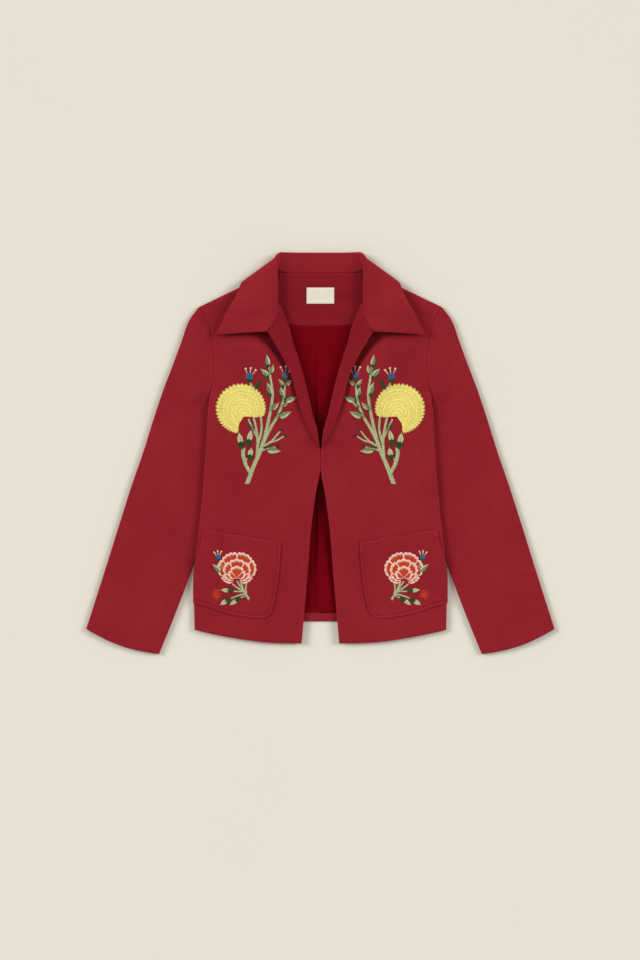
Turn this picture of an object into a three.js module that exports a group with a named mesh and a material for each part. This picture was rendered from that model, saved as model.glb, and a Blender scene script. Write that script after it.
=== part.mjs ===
// A cropped, open-fronted western jacket laid flat, front up: back, two fronts with
// turned lapels, facings, a one-piece collar, two set-in sleeves, two patch pockets,
// the back lining with its centre pleat, the back neck facing and a blank label.
// Millimetres. +X is the wearer's left, +Y runs from hem to neck, and +Z is up from the
// surface that the jacket lies on. Every piece is a closed cloth wall.
import * as THREE from "three";

// ---------------------------------------------------------------- cloth
const BACK_CLOTH = 1.4;
const FRONT_CLOTH = 1.6;
const FACING_CLOTH = 1.2;
const LINING_CLOTH = 1.0;
const SLEEVE_CLOTH = 1.4;
const POCKET_CLOTH = 1.4;
const COLLAR_CLOTH = 2.2; // top collar, interlining and under collar together
const LABEL_CLOTH = 1.0;
const SEAM_GAP = 0.3;
const CLOTH_RED = 0x93232f;
const LINING_RED = 0x8a0a1c;
const LABEL_CREAM = 0xe9e2d3;

// ---------------------------------------------------------------- how the layers lie
const EDGE_RADIUS = 2.4; // how each panel rolls at a side or shoulder seam
const BACK_MID = BACK_CLOTH / 2;
const FRONT_MID = BACK_MID + 2 * EDGE_RADIUS + SEAM_GAP;
const SLEEVE_HEIGHT = { armhole: 6.6, cuff: 6.2, tucked: 3.3 };
const SLEEVE_LIFT = 3.9; // how far a sleeve tucked underneath lifts the body
const COLLAR_LIFT = 3.0; // how far the collar lying underneath lifts the neck
// The body comes down from that lift over these distances in from the side seam.
const LIFTED_BAND = 26;
const LEVEL_BAND = 66;
const LOWER_SLOPE = { from: -245, to: -195 };
const UPPER_SLOPE = { from: 107, to: 80 };

// ---------------------------------------------------------------- outlines, half of each
const SIDE_SEAM = [
  { x: 220.0, y: -309 },
  { x: 221.0, y: -256 },
  { x: 219.5, y: -200 },
  { x: 207.5, y: -89 },
  { x: 200.5, y: 5 },
  { x: 197.5, y: 60 },
  { x: 194.0, y: 107 },
];
const ARMHOLE = [
  { x: 194.0, y: 107 },
  { x: 188.0, y: 123 },
  { x: 186.4, y: 146 },
  { x: 187.0, y: 172 },
  { x: 189.5, y: 196 },
  { x: 193.5, y: 217 },
  { x: 201.0, y: 235 },
  { x: 211.6, y: 255.5 },
];
const NECK_POINT = { x: 81, y: 318.5 };
const FRONT_EDGE = [
  { x: 32.9, y: -333 },
  { x: 28.7, y: -284 },
  { x: 21.7, y: -200 },
  { x: 16.1, y: -131 },
  { x: 7.7, y: -69 },
  { x: 0.8, y: -33 },
  { x: 0.5, y: 2 },
];
const FOLD_LINE = [
  { x: 0.5, y: 2 },
  { x: 4.9, y: 38.5 },
  { x: 13.3, y: 68.6 },
  { x: 27.3, y: 127.8 },
  { x: 38.5, y: 166 },
  { x: 48.0, y: 194 },
  { x: 55.0, y: 222 },
  { x: 70.7, y: 261 },
];
const LAPEL_EDGE = [
  { x: 1.5, y: 3 },
  { x: 16.5, y: 35 },
  { x: 30.5, y: 66.5 },
  { x: 41.3, y: 99.8 },
  { x: 49.7, y: 133 },
  { x: 60.7, y: 158 },
  { x: 77.7, y: 183 },
  { x: 91.8, y: 210.2 },
];
const GORGE = [
  { x: 70.7, y: 261 },
  { x: 71.4, y: 250 },
  { x: 74.4, y: 238.3 },
  { x: 82.4, y: 224.6 },
  { x: 91.8, y: 210.2 },
];
const FRONT_NECKLINE = [
  { x: 75.8, y: 262 },
  { x: 80.0, y: 285 },
  { x: 80.9, y: 302 },
  { x: 81.0, y: 318.5 },
];
const FRONT_HEM = [
  { x: 221.5, y: -309 },
  { x: 183.6, y: -317.6 },
  { x: 127.8, y: -327.3 },
  { x: 85.9, y: -331.6 },
  { x: 32.0, y: -333 },
];
const POCKET_MOUTH = [
  { x: 215.0, y: -132.1 },
  { x: 140.0, y: -144.5 },
  { x: 68.0, y: -156 },
];
const POCKET_BOTTOM = [
  { x: 223.0, y: -262 },
  { x: 197.4, y: -268.8 },
  { x: 169.6, y: -278.6 },
  { x: 141.8, y: -285 },
  { x: 113.8, y: -288.8 },
  { x: 97.5, y: -288.4 },
  { x: 85.0, y: -279 },
];
const POCKET_INNER = [
  { x: 86.0, y: -279 },
  { x: 80.6, y: -262 },
  { x: 74.7, y: -228.4 },
  { x: 70.7, y: -195 },
  { x: 68.8, y: -156 },
];
const POCKET_GAPE = 0.9; // how far the pocket's mouth stands open
const BACK_HEM_RISE = 15.3; // the back hem is this much higher in the middle
const BACK_HEM_TURN = 14.4; // the turned-up hem that shows below the lining
const BACK_NECK = { y: 315, half: 62 };
const BACK_FACING = { middle: 221.4, side: 229, lowerHalf: 88, upperHalf: 74 };
const LINING = { sideInset: 18, pleatEdge: -5, pleatWidth: 29, pleatHeight: 0.5, pleatStep: 1.5 };
const LABEL = { width: 48, depth: 28, y: 275 };

// The sleeve's two long edges, section by section from the armhole to the cuff.
const SLEEVE = [
  { outer: [211.6, 255.5], inner: [194.0, 107.0] },
  { outer: [230.0, 231.0], inner: [195.6, 101.0] },
  { outer: [243.0, 195.0], inner: [196.4, 92.0] },
  { outer: [258.0, 154.0], inner: [194.5, 77.0] },
  { outer: [274.0, 112.0], inner: [188.0, 56.0] },
  { outer: [291.5, 60.0], inner: [182.0, 22.0] },
  { outer: [309.0, 4.0], inner: [179.0, -22.0] },
  { outer: [331.0, -60.0], inner: [184.0, -76.0] },
  { outer: [352.0, -126.0], inner: [202.0, -138.0] },
  { outer: [372.0, -190.0], inner: [226.0, -208.0] },
  { outer: [391.0, -250.0], inner: [253.0, -280.0] },
  { outer: [409.5, -308.0], inner: [282.1, -351.7] },
];
const CUFF_BOW = 8; // how far the middle of the cuff hangs past its corners
const ARMHOLE_EASE = 0.5; // the sleeve starts this far outside the body's armhole
const HEAD_FADE = 9; // how quickly the armhole's curve fades down the sleeve
const CUFF_FADE = 6; // how quickly the cuff's bow fades up the sleeve

// The collar's middle surface, half of it, from the centre back round to the front end.
// A section runs from the neck seam up the stand, over a round fold from top to turn,
// and down the leaf to the edge. fold is how round the fold is: 1 is a half circle.
const COLLAR = [
  { seam: [0, 315.3, 4.4], top: [0, 346.9, 6.1], turn: [0, 346.9, 1.1], edge: [0, 293, 1.1], fold: 1 },
  { seam: [40, 315.3, 4.4], top: [41, 346.9, 6.1], turn: [42, 346.9, 1.1], edge: [55, 293, 1.1], fold: 1 },
  { seam: [61, 315.7, 4.8], top: [63, 346.6, 7.4], turn: [67, 346.2, 1.5], edge: [102, 294, 1.1], fold: 1 },
  { seam: [72, 318.6, 6.6], top: [70, 344.0, 10.6], turn: [79, 342, 3.0], edge: [128, 299.4, 1.6], fold: 1 },
  { seam: [76.4, 321.4, 7.9], top: [72, 337.5, 13.0], turn: [84, 337, 7.4], edge: [139.4, 300.4, 5.8], fold: 1 },
  { seam: [79.2, 316.5, 8.7], top: [73.6, 325, 13.2], turn: [81, 329, 14.6], edge: [144, 294.6, 11.8], fold: 1 },
  { seam: [79.4, 305, 8.8], top: [75, 310, 13.3], turn: [79.6, 312, 15.4], edge: [151, 272, 10.0], fold: 1 },
  { seam: [78.2, 286, 8.6], top: [74.6, 287, 12.6], turn: [78.8, 288, 14.6], edge: [163.6, 245, 9.0], fold: 1 },
  { seam: [76.8, 266, 8.8], top: [75.2, 265.5, 11.8], turn: [79.6, 264, 13.4], edge: [173, 225, 8.6], fold: 0.9 },
  { seam: [78.0, 244, 10.2], top: [80.6, 243.5, 11.4], turn: [84.6, 242.6, 12.0], edge: [178, 215, 8.4], fold: 0.35 },
  { seam: [83.4, 227.4, 10.0], top: [87.4, 227, 10.8], turn: [92, 226.5, 11.1], edge: [180.4, 210.4, 8.3], fold: 0.2 },
  { seam: [93.0, 211.4, 9.6], top: [98, 211.2, 10.0], turn: [104, 211, 10.2], edge: [181.8, 207.4, 8.2], fold: 0.1 },
];
const COLLAR_HALF_SECTIONS = 16;
const STAND_SHARES = [0, 0.5];
const LEAF_SHARES = [0.25, 0.5, 0.75, 1];
const COLLAR_FOLD_STEPS = 5;

// ---------------------------------------------------------------- curves and helpers
const { lerp, clamp, smoothstep, degToRad } = THREE.MathUtils;
const LEVEL = Math.PI / 2; // the tilt of a panel's normal where it lies level
const ramp = (value, from, to) => clamp((value - from) / (to - from), 0, 1);
const vector2 = ({ x, y }) => new THREE.Vector2(x, y);
const spline = (table) => new THREE.SplineCurve(table.map(vector2));
const shares = (count) => Array.from({ length: count + 1 }, (_, i) => i / count);
const between = (low, high, levels) => [low, ...levels.filter((y) => y > low && y < high), high];

// The point of a curve where one coordinate, which only rises or only falls, has a value.
function pointWhere(curve, axis, value) {
  const rising = curve.getPoint(1)[axis] > curve.getPoint(0)[axis];
  let low = 0;
  let high = 1;
  for (let step = 0; step < 24; step++) {
    const middle = (low + high) / 2;
    if (curve.getPoint(middle)[axis] < value === rising) low = middle;
    else high = middle;
  }
  return curve.getPoint((low + high) / 2);
}

const sideSeam = spline(SIDE_SEAM);
const armhole = spline(ARMHOLE);
const frontEdge = spline(FRONT_EDGE);
const foldLine = spline(FOLD_LINE);
const lapelEdge = spline(LAPEL_EDGE);
const gorge = spline(GORGE);
const frontNeckline = spline(FRONT_NECKLINE);
const frontHem = spline(FRONT_HEM);
const HEM_Y = SIDE_SEAM[0].y;
const UNDERARM = vector2(ARMHOLE[0]);
const SHOULDER_POINT = vector2(ARMHOLE.at(-1));
const ARMHOLE_LENGTH = armhole.getLength();
const sideX = (y) =>
  y < UNDERARM.y ? pointWhere(sideSeam, "y", Math.max(y, HEM_Y)).x : pointWhere(armhole, "y", y).x;

const SHOULDER_SLOPE = (NECK_POINT.y - SHOULDER_POINT.y) / (SHOULDER_POINT.x - NECK_POINT.x);
const SHOULDER_NORMAL = new THREE.Vector2(SHOULDER_SLOPE, 1).normalize();
const shoulderY = (x) => SHOULDER_POINT.y + SHOULDER_SLOPE * (SHOULDER_POINT.x - Math.abs(x));
const NECK_SLOPE = {
  from: shoulderY(SHOULDER_POINT.x - LIFTED_BAND),
  to: shoulderY(SHOULDER_POINT.x - LEVEL_BAND),
};

// Levels at which every panel has a row of points, so that what lies on it can match.
const SIDE_LEVELS = [-309, -277, -245, -220, -195, -142, -89, -36, 17, 50, 80, 93.5, 107];
const SLOPE_LEVELS = [-245, -220, -195, 80, 93.5, 107, NECK_SLOPE.from, NECK_SLOPE.to];
const BAND_STEPS = shares(3).map((share) => lerp(LIFTED_BAND, LEVEL_BAND, share));
const ARMHOLE_STEPS = 7;

// A panel rolls over a quarter circle at an outline seam: how far each step is in from
// the outline, and how its normal tilts.
const rollSteps = (cloth) =>
  [0, 30, 60, 90].map(degToRad).map((tilt) => ({
    distance: cloth / 2 + (1 - Math.cos(tilt)) * EDGE_RADIUS,
    tilt,
  }));

// The lift of the body above the sleeves and the collar that lie under it.
function lift(x, y) {
  const inside = sideX(y) - Math.abs(x);
  const overSleeve =
    ramp(inside, LEVEL_BAND, LIFTED_BAND) *
    ramp(y, LOWER_SLOPE.from, LOWER_SLOPE.to) *
    ramp(y, UPPER_SLOPE.from, UPPER_SLOPE.to);
  return SLEEVE_LIFT * overSleeve + COLLAR_LIFT * ramp(y, NECK_SLOPE.from, NECK_SLOPE.to);
}

// ---------------------------------------------------------------- walls
// A closed wall between two faces, each given as rows of points. A missing point leaves
// its cells open, coinciding points close a cell up, and ring joins each row's ends.
function wall(name, outerFace, innerFace, colour, ring = false) {
  const columns = outerFace[0].length;
  const numbers = new Map();
  const outer = [];
  const inner = [];
  const pointKey = (p) => p.toArray().map((c) => Math.round(c * 500)).join();
  const indexOf = (row, column) => {
    const c = column % columns;
    const [a, b] = [outerFace[row][c], innerFace[row][c]];
    if (!a || !b) return null;
    const key = `${pointKey(a)}/${pointKey(b)}`;
    if (!numbers.has(key)) {
      numbers.set(key, outer.length);
      outer.push(a);
      inner.push(b);
    }
    return numbers.get(key);
  };
  const faces = [];
  const addFace = (a, b, c) => {
    if (a !== b && b !== c && c !== a) faces.push([a, b, c]);
  };
  for (let r = 0; r < outerFace.length - 1; r++) {
    for (let c = 0; c < (ring ? columns : columns - 1); c++) {
      const corners = [indexOf(r, c), indexOf(r, c + 1), indexOf(r + 1, c + 1), indexOf(r + 1, c)];
      if (corners.includes(null)) continue;
      addFace(corners[0], corners[1], corners[2]);
      addFace(corners[0], corners[2], corners[3]);
    }
  }
  const edges = new Set();
  for (const [a, b, c] of faces) edges.add(`${a}-${b}`).add(`${b}-${c}`).add(`${c}-${a}`);
  const count = outer.length;
  const triangles = [];
  for (const [a, b, c] of faces) {
    triangles.push(a, b, c, count + a, count + c, count + b);
    for (const [from, to] of [[a, b], [b, c], [c, a]]) {
      if (edges.has(`${to}-${from}`)) continue;
      triangles.push(from, count + from, count + to, from, count + to, to);
    }
  }
  const geometry = new THREE.BufferGeometry().setFromPoints([...outer, ...inner]).setIndex(triangles);
  geometry.computeVertexNormals();
  const material = new THREE.MeshStandardMaterial({ color: colour, roughness: 0.85, metalness: 0 });
  const mesh = new THREE.Mesh(geometry, material);
  mesh.name = name;
  return mesh;
}

// Half of the jacket is worked out on +X; this puts it on either side, wound outwards.
function sided(grid, side) {
  return grid.map((row) => {
    const points = row.map((p) => p && new THREE.Vector3(side * p.x, p.y, p.z));
    return side > 0 ? points.reverse() : points;
  });
}

// A point of a panel that rolls down, or up, to a seam: away is the way to the seam.
function panelPoint(plan, middle, out, tilt, away, down) {
  const height = middle + lift(plan.x, plan.y) - down * EDGE_RADIUS * (1 - Math.sin(tilt));
  const moved = plan.clone().addScaledVector(away, down * out * Math.cos(tilt));
  return new THREE.Vector3(moved.x, moved.y, height + out * Math.sin(tilt));
}

// ---------------------------------------------------------------- fronts
const EDGE_ROWS = 7;
const UNDERARM_ROW = SIDE_LEVELS.length - 1;
const LAST_LEVEL_ROW = UNDERARM_ROW + ARMHOLE_STEPS;
const TURNING = [
  { fold: 0, turned: 0 },
  { fold: 0.03, turned: 90 },
  { fold: 0.08, turned: 150 },
  { fold: 0.16, turned: 180 },
  { fold: 0.28, turned: 180 },
  { fold: 0.4, turned: 180 },
  { fold: 0.52, turned: 180 },
  { fold: 0.64, turned: 180 },
  { fold: 0.76, turned: 180 },
  { fold: 0.88, turned: 180 },
  { fold: 1, turned: 180 },
];
const GORGE_ROW = EDGE_ROWS + TURNING.length - 1;
const INNER_SHARES = [0.3, 0.6, 0.8];
const FACING_SHARES = [0.6, 0.8];
const LAPEL_SHARES = [1 / 3, 2 / 3, 1];
const FOLD_STEPS = [1 / 4, 1 / 2, 3 / 4, 1];
const FOLD_RADIUS = 2.0;
const FOLD_DEPTH = FRONT_CLOTH / 2 + SEAM_GAP + FACING_CLOTH; // from mid-cloth to facing's face
const LAPEL_LIE = FRONT_CLOTH + 0.7; // the lapel's free edge above the front, middle to middle

// The rows of a front, from hem to shoulder: where each meets the side seam or armhole,
// where it meets the front edge, fold line or neckline, and how it turns or rolls there.
function frontRows() {
  const rolls = rollSteps(FRONT_CLOTH);
  const neckLength = frontNeckline.getLength();
  const topShare = 1 - rolls[3].distance / ARMHOLE_LENGTH;
  const rows = [];
  for (let r = 0; r <= LAST_LEVEL_ROW; r++) {
    const overUnderarm = (r - UNDERARM_ROW) / ARMHOLE_STEPS;
    const row = { tilt: LEVEL, upper: Math.max(0, overUnderarm), turned: 0, rolled: r <= UNDERARM_ROW };
    row.outer = row.rolled
      ? new THREE.Vector2(sideX(SIDE_LEVELS[r]), SIDE_LEVELS[r])
      : armhole.getPointAt(overUnderarm * topShare);
    if (r < EDGE_ROWS) row.end = frontEdge.getPointAt(r / EDGE_ROWS);
    else if (r <= GORGE_ROW) Object.assign(row, turnOf(TURNING[r - EDGE_ROWS]));
    else {
      const share = (r - GORGE_ROW) / (LAST_LEVEL_ROW - GORGE_ROW);
      row.end = frontNeckline.getPointAt(share * (1 - rolls[3].distance / neckLength));
    }
    rows.push(row);
  }
  for (const { distance, tilt } of rolls.slice(0, 3).reverse()) {
    const outer = armhole.getPointAt(1 - distance / ARMHOLE_LENGTH);
    const end = frontNeckline.getPointAt(1 - distance / neckLength);
    rows.push({ tilt, upper: 1, turned: 0, rolled: false, outer, end });
  }
  return rows;
}

// Where the front turns over into the lapel: end is under the middle of the turn.
function turnOf({ fold, turned }) {
  const tangent = foldLine.getTangentAt(fold);
  const away = new THREE.Vector2(tangent.y, -tangent.x);
  const depth = (FOLD_DEPTH + FOLD_RADIUS) * ramp(turned, 0, 90);
  const end = foldLine.getPointAt(fold).addScaledVector(away, depth);
  return { fold, turned, away, end };
}

// The level part of a row in plan: in from the side by bands, then by shares to its end.
function rowPlan(row, r) {
  const slope = ((row.end.y - row.outer.y) / (row.outer.x - row.end.x)) * row.upper;
  const hemShare = 1 - ramp(r, 0, 2);
  const bend = (p) => {
    const hem = pointWhere(frontHem, "x", p.x).y;
    return new THREE.Vector2(p.x, lerp(p.y, hem + p.y - straightHemY(p.x), hemShare));
  };
  const banded = (distance) =>
    new THREE.Vector2(row.outer.x - distance, row.outer.y + slope * distance);
  const inner = banded(LEVEL_BAND);
  return {
    at: (distance) => bend(banded(distance)),
    to: (share) => bend(inner.clone().lerp(row.end, share)),
  };
}

// The hem line that rowPlan's lowest row would have before it is bent to the real hem.
function straightHemY(x) {
  const start = SIDE_SEAM[0].x - LEVEL_BAND;
  return lerp(HEM_Y, FRONT_EDGE[0].y, ramp(x, start, FRONT_EDGE[0].x));
}

// A row's points at a distance outwards from the middle of the front's cloth. inside
// leaves out the side, for the facing.
function frontRow(row, r, out, inside) {
  const { at, to } = rowPlan(row, r);
  const across = new THREE.Vector2(1, 0);
  const points = [];
  const put = (plan, tilt, away) => points.push(panelPoint(plan, FRONT_MID, out, tilt, away, 1));
  if (!inside) {
    for (const { distance, tilt } of rollSteps(FRONT_CLOTH)) {
      if (row.tilt !== LEVEL) put(at(distance), row.tilt, SHOULDER_NORMAL);
      else put(at(distance), row.rolled ? tilt : LEVEL, across);
    }
    for (const distance of BAND_STEPS) put(at(distance), row.tilt, SHOULDER_NORMAL);
  }
  for (const share of inside ? FACING_SHARES : INNER_SHARES) put(to(share), row.tilt, SHOULDER_NORMAL);
  put(to(1), row.tilt, SHOULDER_NORMAL);
  // Above the gorge there is no lapel, and below its foot the lapel has no size.
  const lapelColumns = new Array(FOLD_STEPS.length + LAPEL_SHARES.length);
  if (r > GORGE_ROW) return [...points, ...lapelColumns.fill(null)];
  if (r <= EDGE_ROWS) return [...points, ...lapelColumns.fill(points.at(-1))];
  return [...points, ...lapelPoints(row, out)];
}

// The turn and the lapel: part of a turn near the foot, and a whole one further up.

function lapelPoints({ fold, turned, away, end }, out) {
  const base = FRONT_MID + lift(end.x, end.y);
  const radius = FOLD_RADIUS - out;
  const points = FOLD_STEPS.map((step) => {
    const angle = degToRad(turned * step);
    const plan = end.clone().addScaledVector(away, -radius * Math.sin(angle));
    return new THREE.Vector3(plan.x, plan.y, base + FOLD_RADIUS - radius * Math.cos(angle));
  });
  const start = points.at(-1);
  const edge = lapelEdge.getPointAt(fold);
  const unturned = degToRad(180 - turned);
  const reach = edge.distanceTo(end);
  for (const share of LAPEL_SHARES) {
    if (turned < 180) {
      const run = reach * share;
      const plan = new THREE.Vector2(start.x, start.y).addScaledVector(away, run * Math.cos(unturned));
      points.push(new THREE.Vector3(plan.x, plan.y, start.z + run * Math.sin(unturned)));
      continue;
    }
    const bow = gorge.getPointAt(share).sub(vector2(GORGE[0]).lerp(vector2(GORGE.at(-1)), share));
    const plan = end.clone().lerp(edge, share).addScaledVector(bow, fold ** 6);
    const lie = lerp(2 * FOLD_RADIUS, LAPEL_LIE, smoothstep(share, 0, 1));
    points.push(new THREE.Vector3(plan.x, plan.y, base + lie - out));
  }
  return points;
}

function front(side, name) {
  const rows = frontRows();
  const make = (out) => sided(rows.map((row, r) => frontRow(row, r, out, false)), side);
  return wall(name, make(FRONT_CLOTH / 2), make(-FRONT_CLOTH / 2), CLOTH_RED);
}

// The facing lies under the front along its edge, goes round the fold and is the face of
// the lapel, up to the gorge.
function frontFacing(side, name) {
  const rows = frontRows().slice(0, GORGE_ROW + 1);
  const make = (out) => sided(rows.map((row, r) => frontRow(row, r, out, true)), side);
  const near = -FRONT_CLOTH / 2 - SEAM_GAP;
  return wall(name, make(near), make(near - FACING_CLOTH), CLOTH_RED);
}

// ---------------------------------------------------------------- pockets
const POCKET_SHARES = [0.35, 0.65, 0.85, 1]; // of the way from the bands to the inner edge

function pocket(side, name) {
  const mouth = spline(POCKET_MOUTH);
  const bottom = spline(POCKET_BOTTOM);
  const innerEdge = spline(POCKET_INNER);
  const across = new THREE.Vector2(1, 0);
  const columns = [
    ...rollSteps(FRONT_CLOTH),
    ...BAND_STEPS.map((distance) => ({ distance, tilt: LEVEL })),
    ...POCKET_SHARES.map((share) => ({ share, tilt: LEVEL })),
  ];
  const rows = [
    { y: -262, innerY: -279, curve: bottom, gape: 0 },
    ...[-245, -220, -195, -165].map((y) => ({ y, innerY: y, curve: null, gape: 0 })),
    { y: -133, innerY: -156, curve: mouth, gape: POCKET_GAPE },
  ];
  const planOf = ({ y, innerY, curve }, { distance, share }) => {
    const outer = sideX(y);
    const inner = pointWhere(innerEdge, "y", innerY).x;
    const x = share === undefined ? outer - distance : lerp(outer - LEVEL_BAND, inner, share);
    return curve ? new THREE.Vector2(x, pointWhere(curve, "x", x).y) : new THREE.Vector2(x, y);
  };
  const make = (out) =>
    rows.map((row) =>
      columns.map((column, c) => {
        const gape = row.gape * Math.sin((Math.PI * c) / (columns.length - 1));
        return panelPoint(planOf(row, column), FRONT_MID, out + gape, column.tilt, across, 1);
      }),
    );
  const under = FRONT_CLOTH / 2 + SEAM_GAP;
  return wall(name, sided(make(under + POCKET_CLOTH), side), sided(make(under), side), CLOTH_RED);
}

// ---------------------------------------------------------------- back
const BACK_COLUMNS = [100, NECK_POINT.x, BACK_NECK.half, BACK_NECK.half / 2, 0];
const BACK_UPPER_MIDDLES = [137, 168, 200, 235, NECK_SLOPE.from, NECK_SLOPE.to];

function backRows() {
  const rolls = rollSteps(BACK_CLOTH);
  const topShare = 1 - rollSteps(FRONT_CLOTH)[3].distance / ARMHOLE_LENGTH;
  const level = { tilt: LEVEL, inset: null };
  return [
    ...SIDE_LEVELS.map((y) => ({ ...level, rolled: true, outer: new THREE.Vector2(sideX(y), y), middle: y })),
    ...BACK_UPPER_MIDDLES.map((middle, i) => ({
      ...level,
      rolled: false,
      outer: armhole.getPointAt(((i + 1) / ARMHOLE_STEPS) * topShare),
      middle,
    })),
    ...rolls.reverse().map(({ distance, tilt }) => ({
      tilt,
      inset: distance,
      rolled: false,
      outer: armhole.getPointAt(1 - distance / ARMHOLE_LENGTH),
      middle: BACK_NECK.y - distance + rolls[3].distance,
    })),
  ];
}

// The back's height of a row at a breadth: level to the middle, or along the shoulder.
function backY(row, x) {
  const hemRise = (1 - (x / SIDE_SEAM[0].x) ** 2) * (1 - ramp(row.middle, HEM_Y, LOWER_SLOPE.from));
  if (row.inset === null) {
    const share = ramp(x, BACK_COLUMNS[0], row.outer.x);
    return lerp(row.middle, row.outer.y, share) + BACK_HEM_RISE * hemRise;
  }
  if (x <= BACK_NECK.half) return row.middle;
  return lerp(row.outer.y, NECK_POINT.y - row.inset, ramp(x, row.outer.x, NECK_POINT.x));
}

function back() {
  const rows = backRows();
  const rolls = rollSteps(BACK_CLOTH);
  const columns = [
    ...rolls,
    ...BAND_STEPS.map((distance) => ({ distance, tilt: LEVEL })),
    ...BACK_COLUMNS.map((x) => ({ x, tilt: LEVEL })),
  ];
  const across = new THREE.Vector2(1, 0);
  const turnRadius = (BACK_CLOTH + SEAM_GAP) / 2;
  const half = (out) => {
    const grid = rows.map((row, r) =>
      columns.map((column) => {
        const x = column.x ?? row.outer.x - column.distance;
        const plan = new THREE.Vector2(x, backY(row, x));
        const atNeck = x <= BACK_NECK.half;
        const foot = r === 0 && column.tilt === LEVEL ? turnRadius : 0;
        plan.y += foot;
        if (row.tilt !== LEVEL && !atNeck) {
          return panelPoint(plan, BACK_MID, out, row.tilt, SHOULDER_NORMAL, -1);
        }
        return panelPoint(plan, BACK_MID, out, row.rolled ? column.tilt : LEVEL, across, -1);
      }),
    );
    // The hem turns up inside, on the level part of the back: raw edge, foot, turn.
    const hemRow = (along, height) =>
      grid[0].map((p, c) => (c < rolls.length ? null : new THREE.Vector3(p.x, p.y + along, height)));
    const turnedHeight = BACK_MID + 2 * turnRadius - out;
    return [
      hemRow(BACK_HEM_TURN - turnRadius, turnedHeight),
      hemRow(0, turnedHeight),
      hemRow(out - turnRadius, BACK_MID + turnRadius),
      ...grid,
    ];
  };
  const whole = (out) =>
    half(out).map((row) => [
      ...row.map((p) => p && new THREE.Vector3(-p.x, p.y, p.z)),
      ...row.slice(0, -1).reverse(),
    ]);
  return wall("back", whole(BACK_CLOTH / 2), whole(-BACK_CLOTH / 2), CLOTH_RED);
}

// ---------------------------------------------------------------- inside of the back
const facingLowerY = (x) =>
  lerp(BACK_FACING.middle, BACK_FACING.side, ramp(Math.abs(x), 0, BACK_FACING.lowerHalf) ** 2);

// A piece that lies on the inside of the back, from rows of places and small lifts.
function insidePiece(name, rows, low, cloth, colour) {
  const make = (height) =>
    rows.map((row) =>
      row.map(({ x, y, fold = 0 }) => new THREE.Vector3(x, y, BACK_MID + lift(x, y) + height + fold)),
    );
  return wall(name, make(low + cloth), make(low), colour);
}

function backFacing() {
  const top = BACK_NECK.y - SEAM_GAP;
  const rows = between(BACK_FACING.middle, top, [245, NECK_SLOPE.from, NECK_SLOPE.to]).map((y) =>
    shares(10).map((u) => {
      const half = lerp(BACK_FACING.lowerHalf, BACK_FACING.upperHalf, ramp(y, BACK_FACING.middle, top));
      const x = half * (2 * u - 1);
      return { x, y: y === BACK_FACING.middle ? facingLowerY(x) : y };
    }),
  );
  return insidePiece("back_facing", rows, BACK_CLOTH / 2 + SEAM_GAP, FACING_CLOTH, CLOTH_RED);
}

function backLining() {
  const { sideInset, pleatEdge, pleatWidth, pleatHeight, pleatStep } = LINING;
  const pleatEnd = pleatEdge + pleatWidth;
  const pleat = [
    { x: pleatEdge - pleatStep, fold: 0 },
    { x: pleatEdge, fold: pleatHeight },
    { x: pleatEdge + pleatWidth / 2, fold: pleatHeight },
    { x: pleatEnd, fold: 0 },
  ];
  const bands = [sideInset, ...BAND_STEPS];
  const rightColumns = [BACK_NECK.half / 2, BACK_NECK.half, BACK_FACING.lowerHalf].map((x) => ({ x }));
  const leftColumns = rightColumns.map(({ x }) => ({ x: -x })).reverse();
  const levels = [-290, -245, -220, -195, -89, 17, 80, 93.5, 107, 165, BACK_FACING.middle];
  const rows = levels.map((level) => {
    const outer = sideX(level);
    const left = bands.map((distance) => ({ x: distance - outer }));
    const right = bands.map((distance) => ({ x: outer - distance })).reverse();
    return [...left, ...leftColumns, ...pleat, ...rightColumns, ...right].map(({ x, fold }) => {
      const hem = HEM_Y + BACK_HEM_RISE * (1 - (x / SIDE_SEAM[0].x) ** 2) + BACK_HEM_TURN + SEAM_GAP;
      const ends = { [levels[0]]: hem, [BACK_FACING.middle]: facingLowerY(x) - SEAM_GAP };
      return { x, y: ends[level] ?? level, fold };
    });
  });
  return insidePiece("back_lining", rows, BACK_CLOTH / 2 + SEAM_GAP, LINING_CLOTH, LINING_RED);
}

function label() {
  const low = BACK_CLOTH / 2 + SEAM_GAP + FACING_CLOTH + SEAM_GAP;
  const rows = between(LABEL.y - LABEL.depth / 2, LABEL.y + LABEL.depth / 2, SLOPE_LEVELS).map((y) =>
    shares(2).map((u) => ({ x: LABEL.width * (u - 0.5), y })),
  );
  return insidePiece("label", rows, low, LABEL_CLOTH, LABEL_CREAM);
}

// ---------------------------------------------------------------- sleeves
const SLEEVE_SECTIONS = 17;
const TUCK = { near: 2, far: 42, lowFrom: -245, lowTo: -205, highFrom: 104, highTo: 86 };

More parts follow.
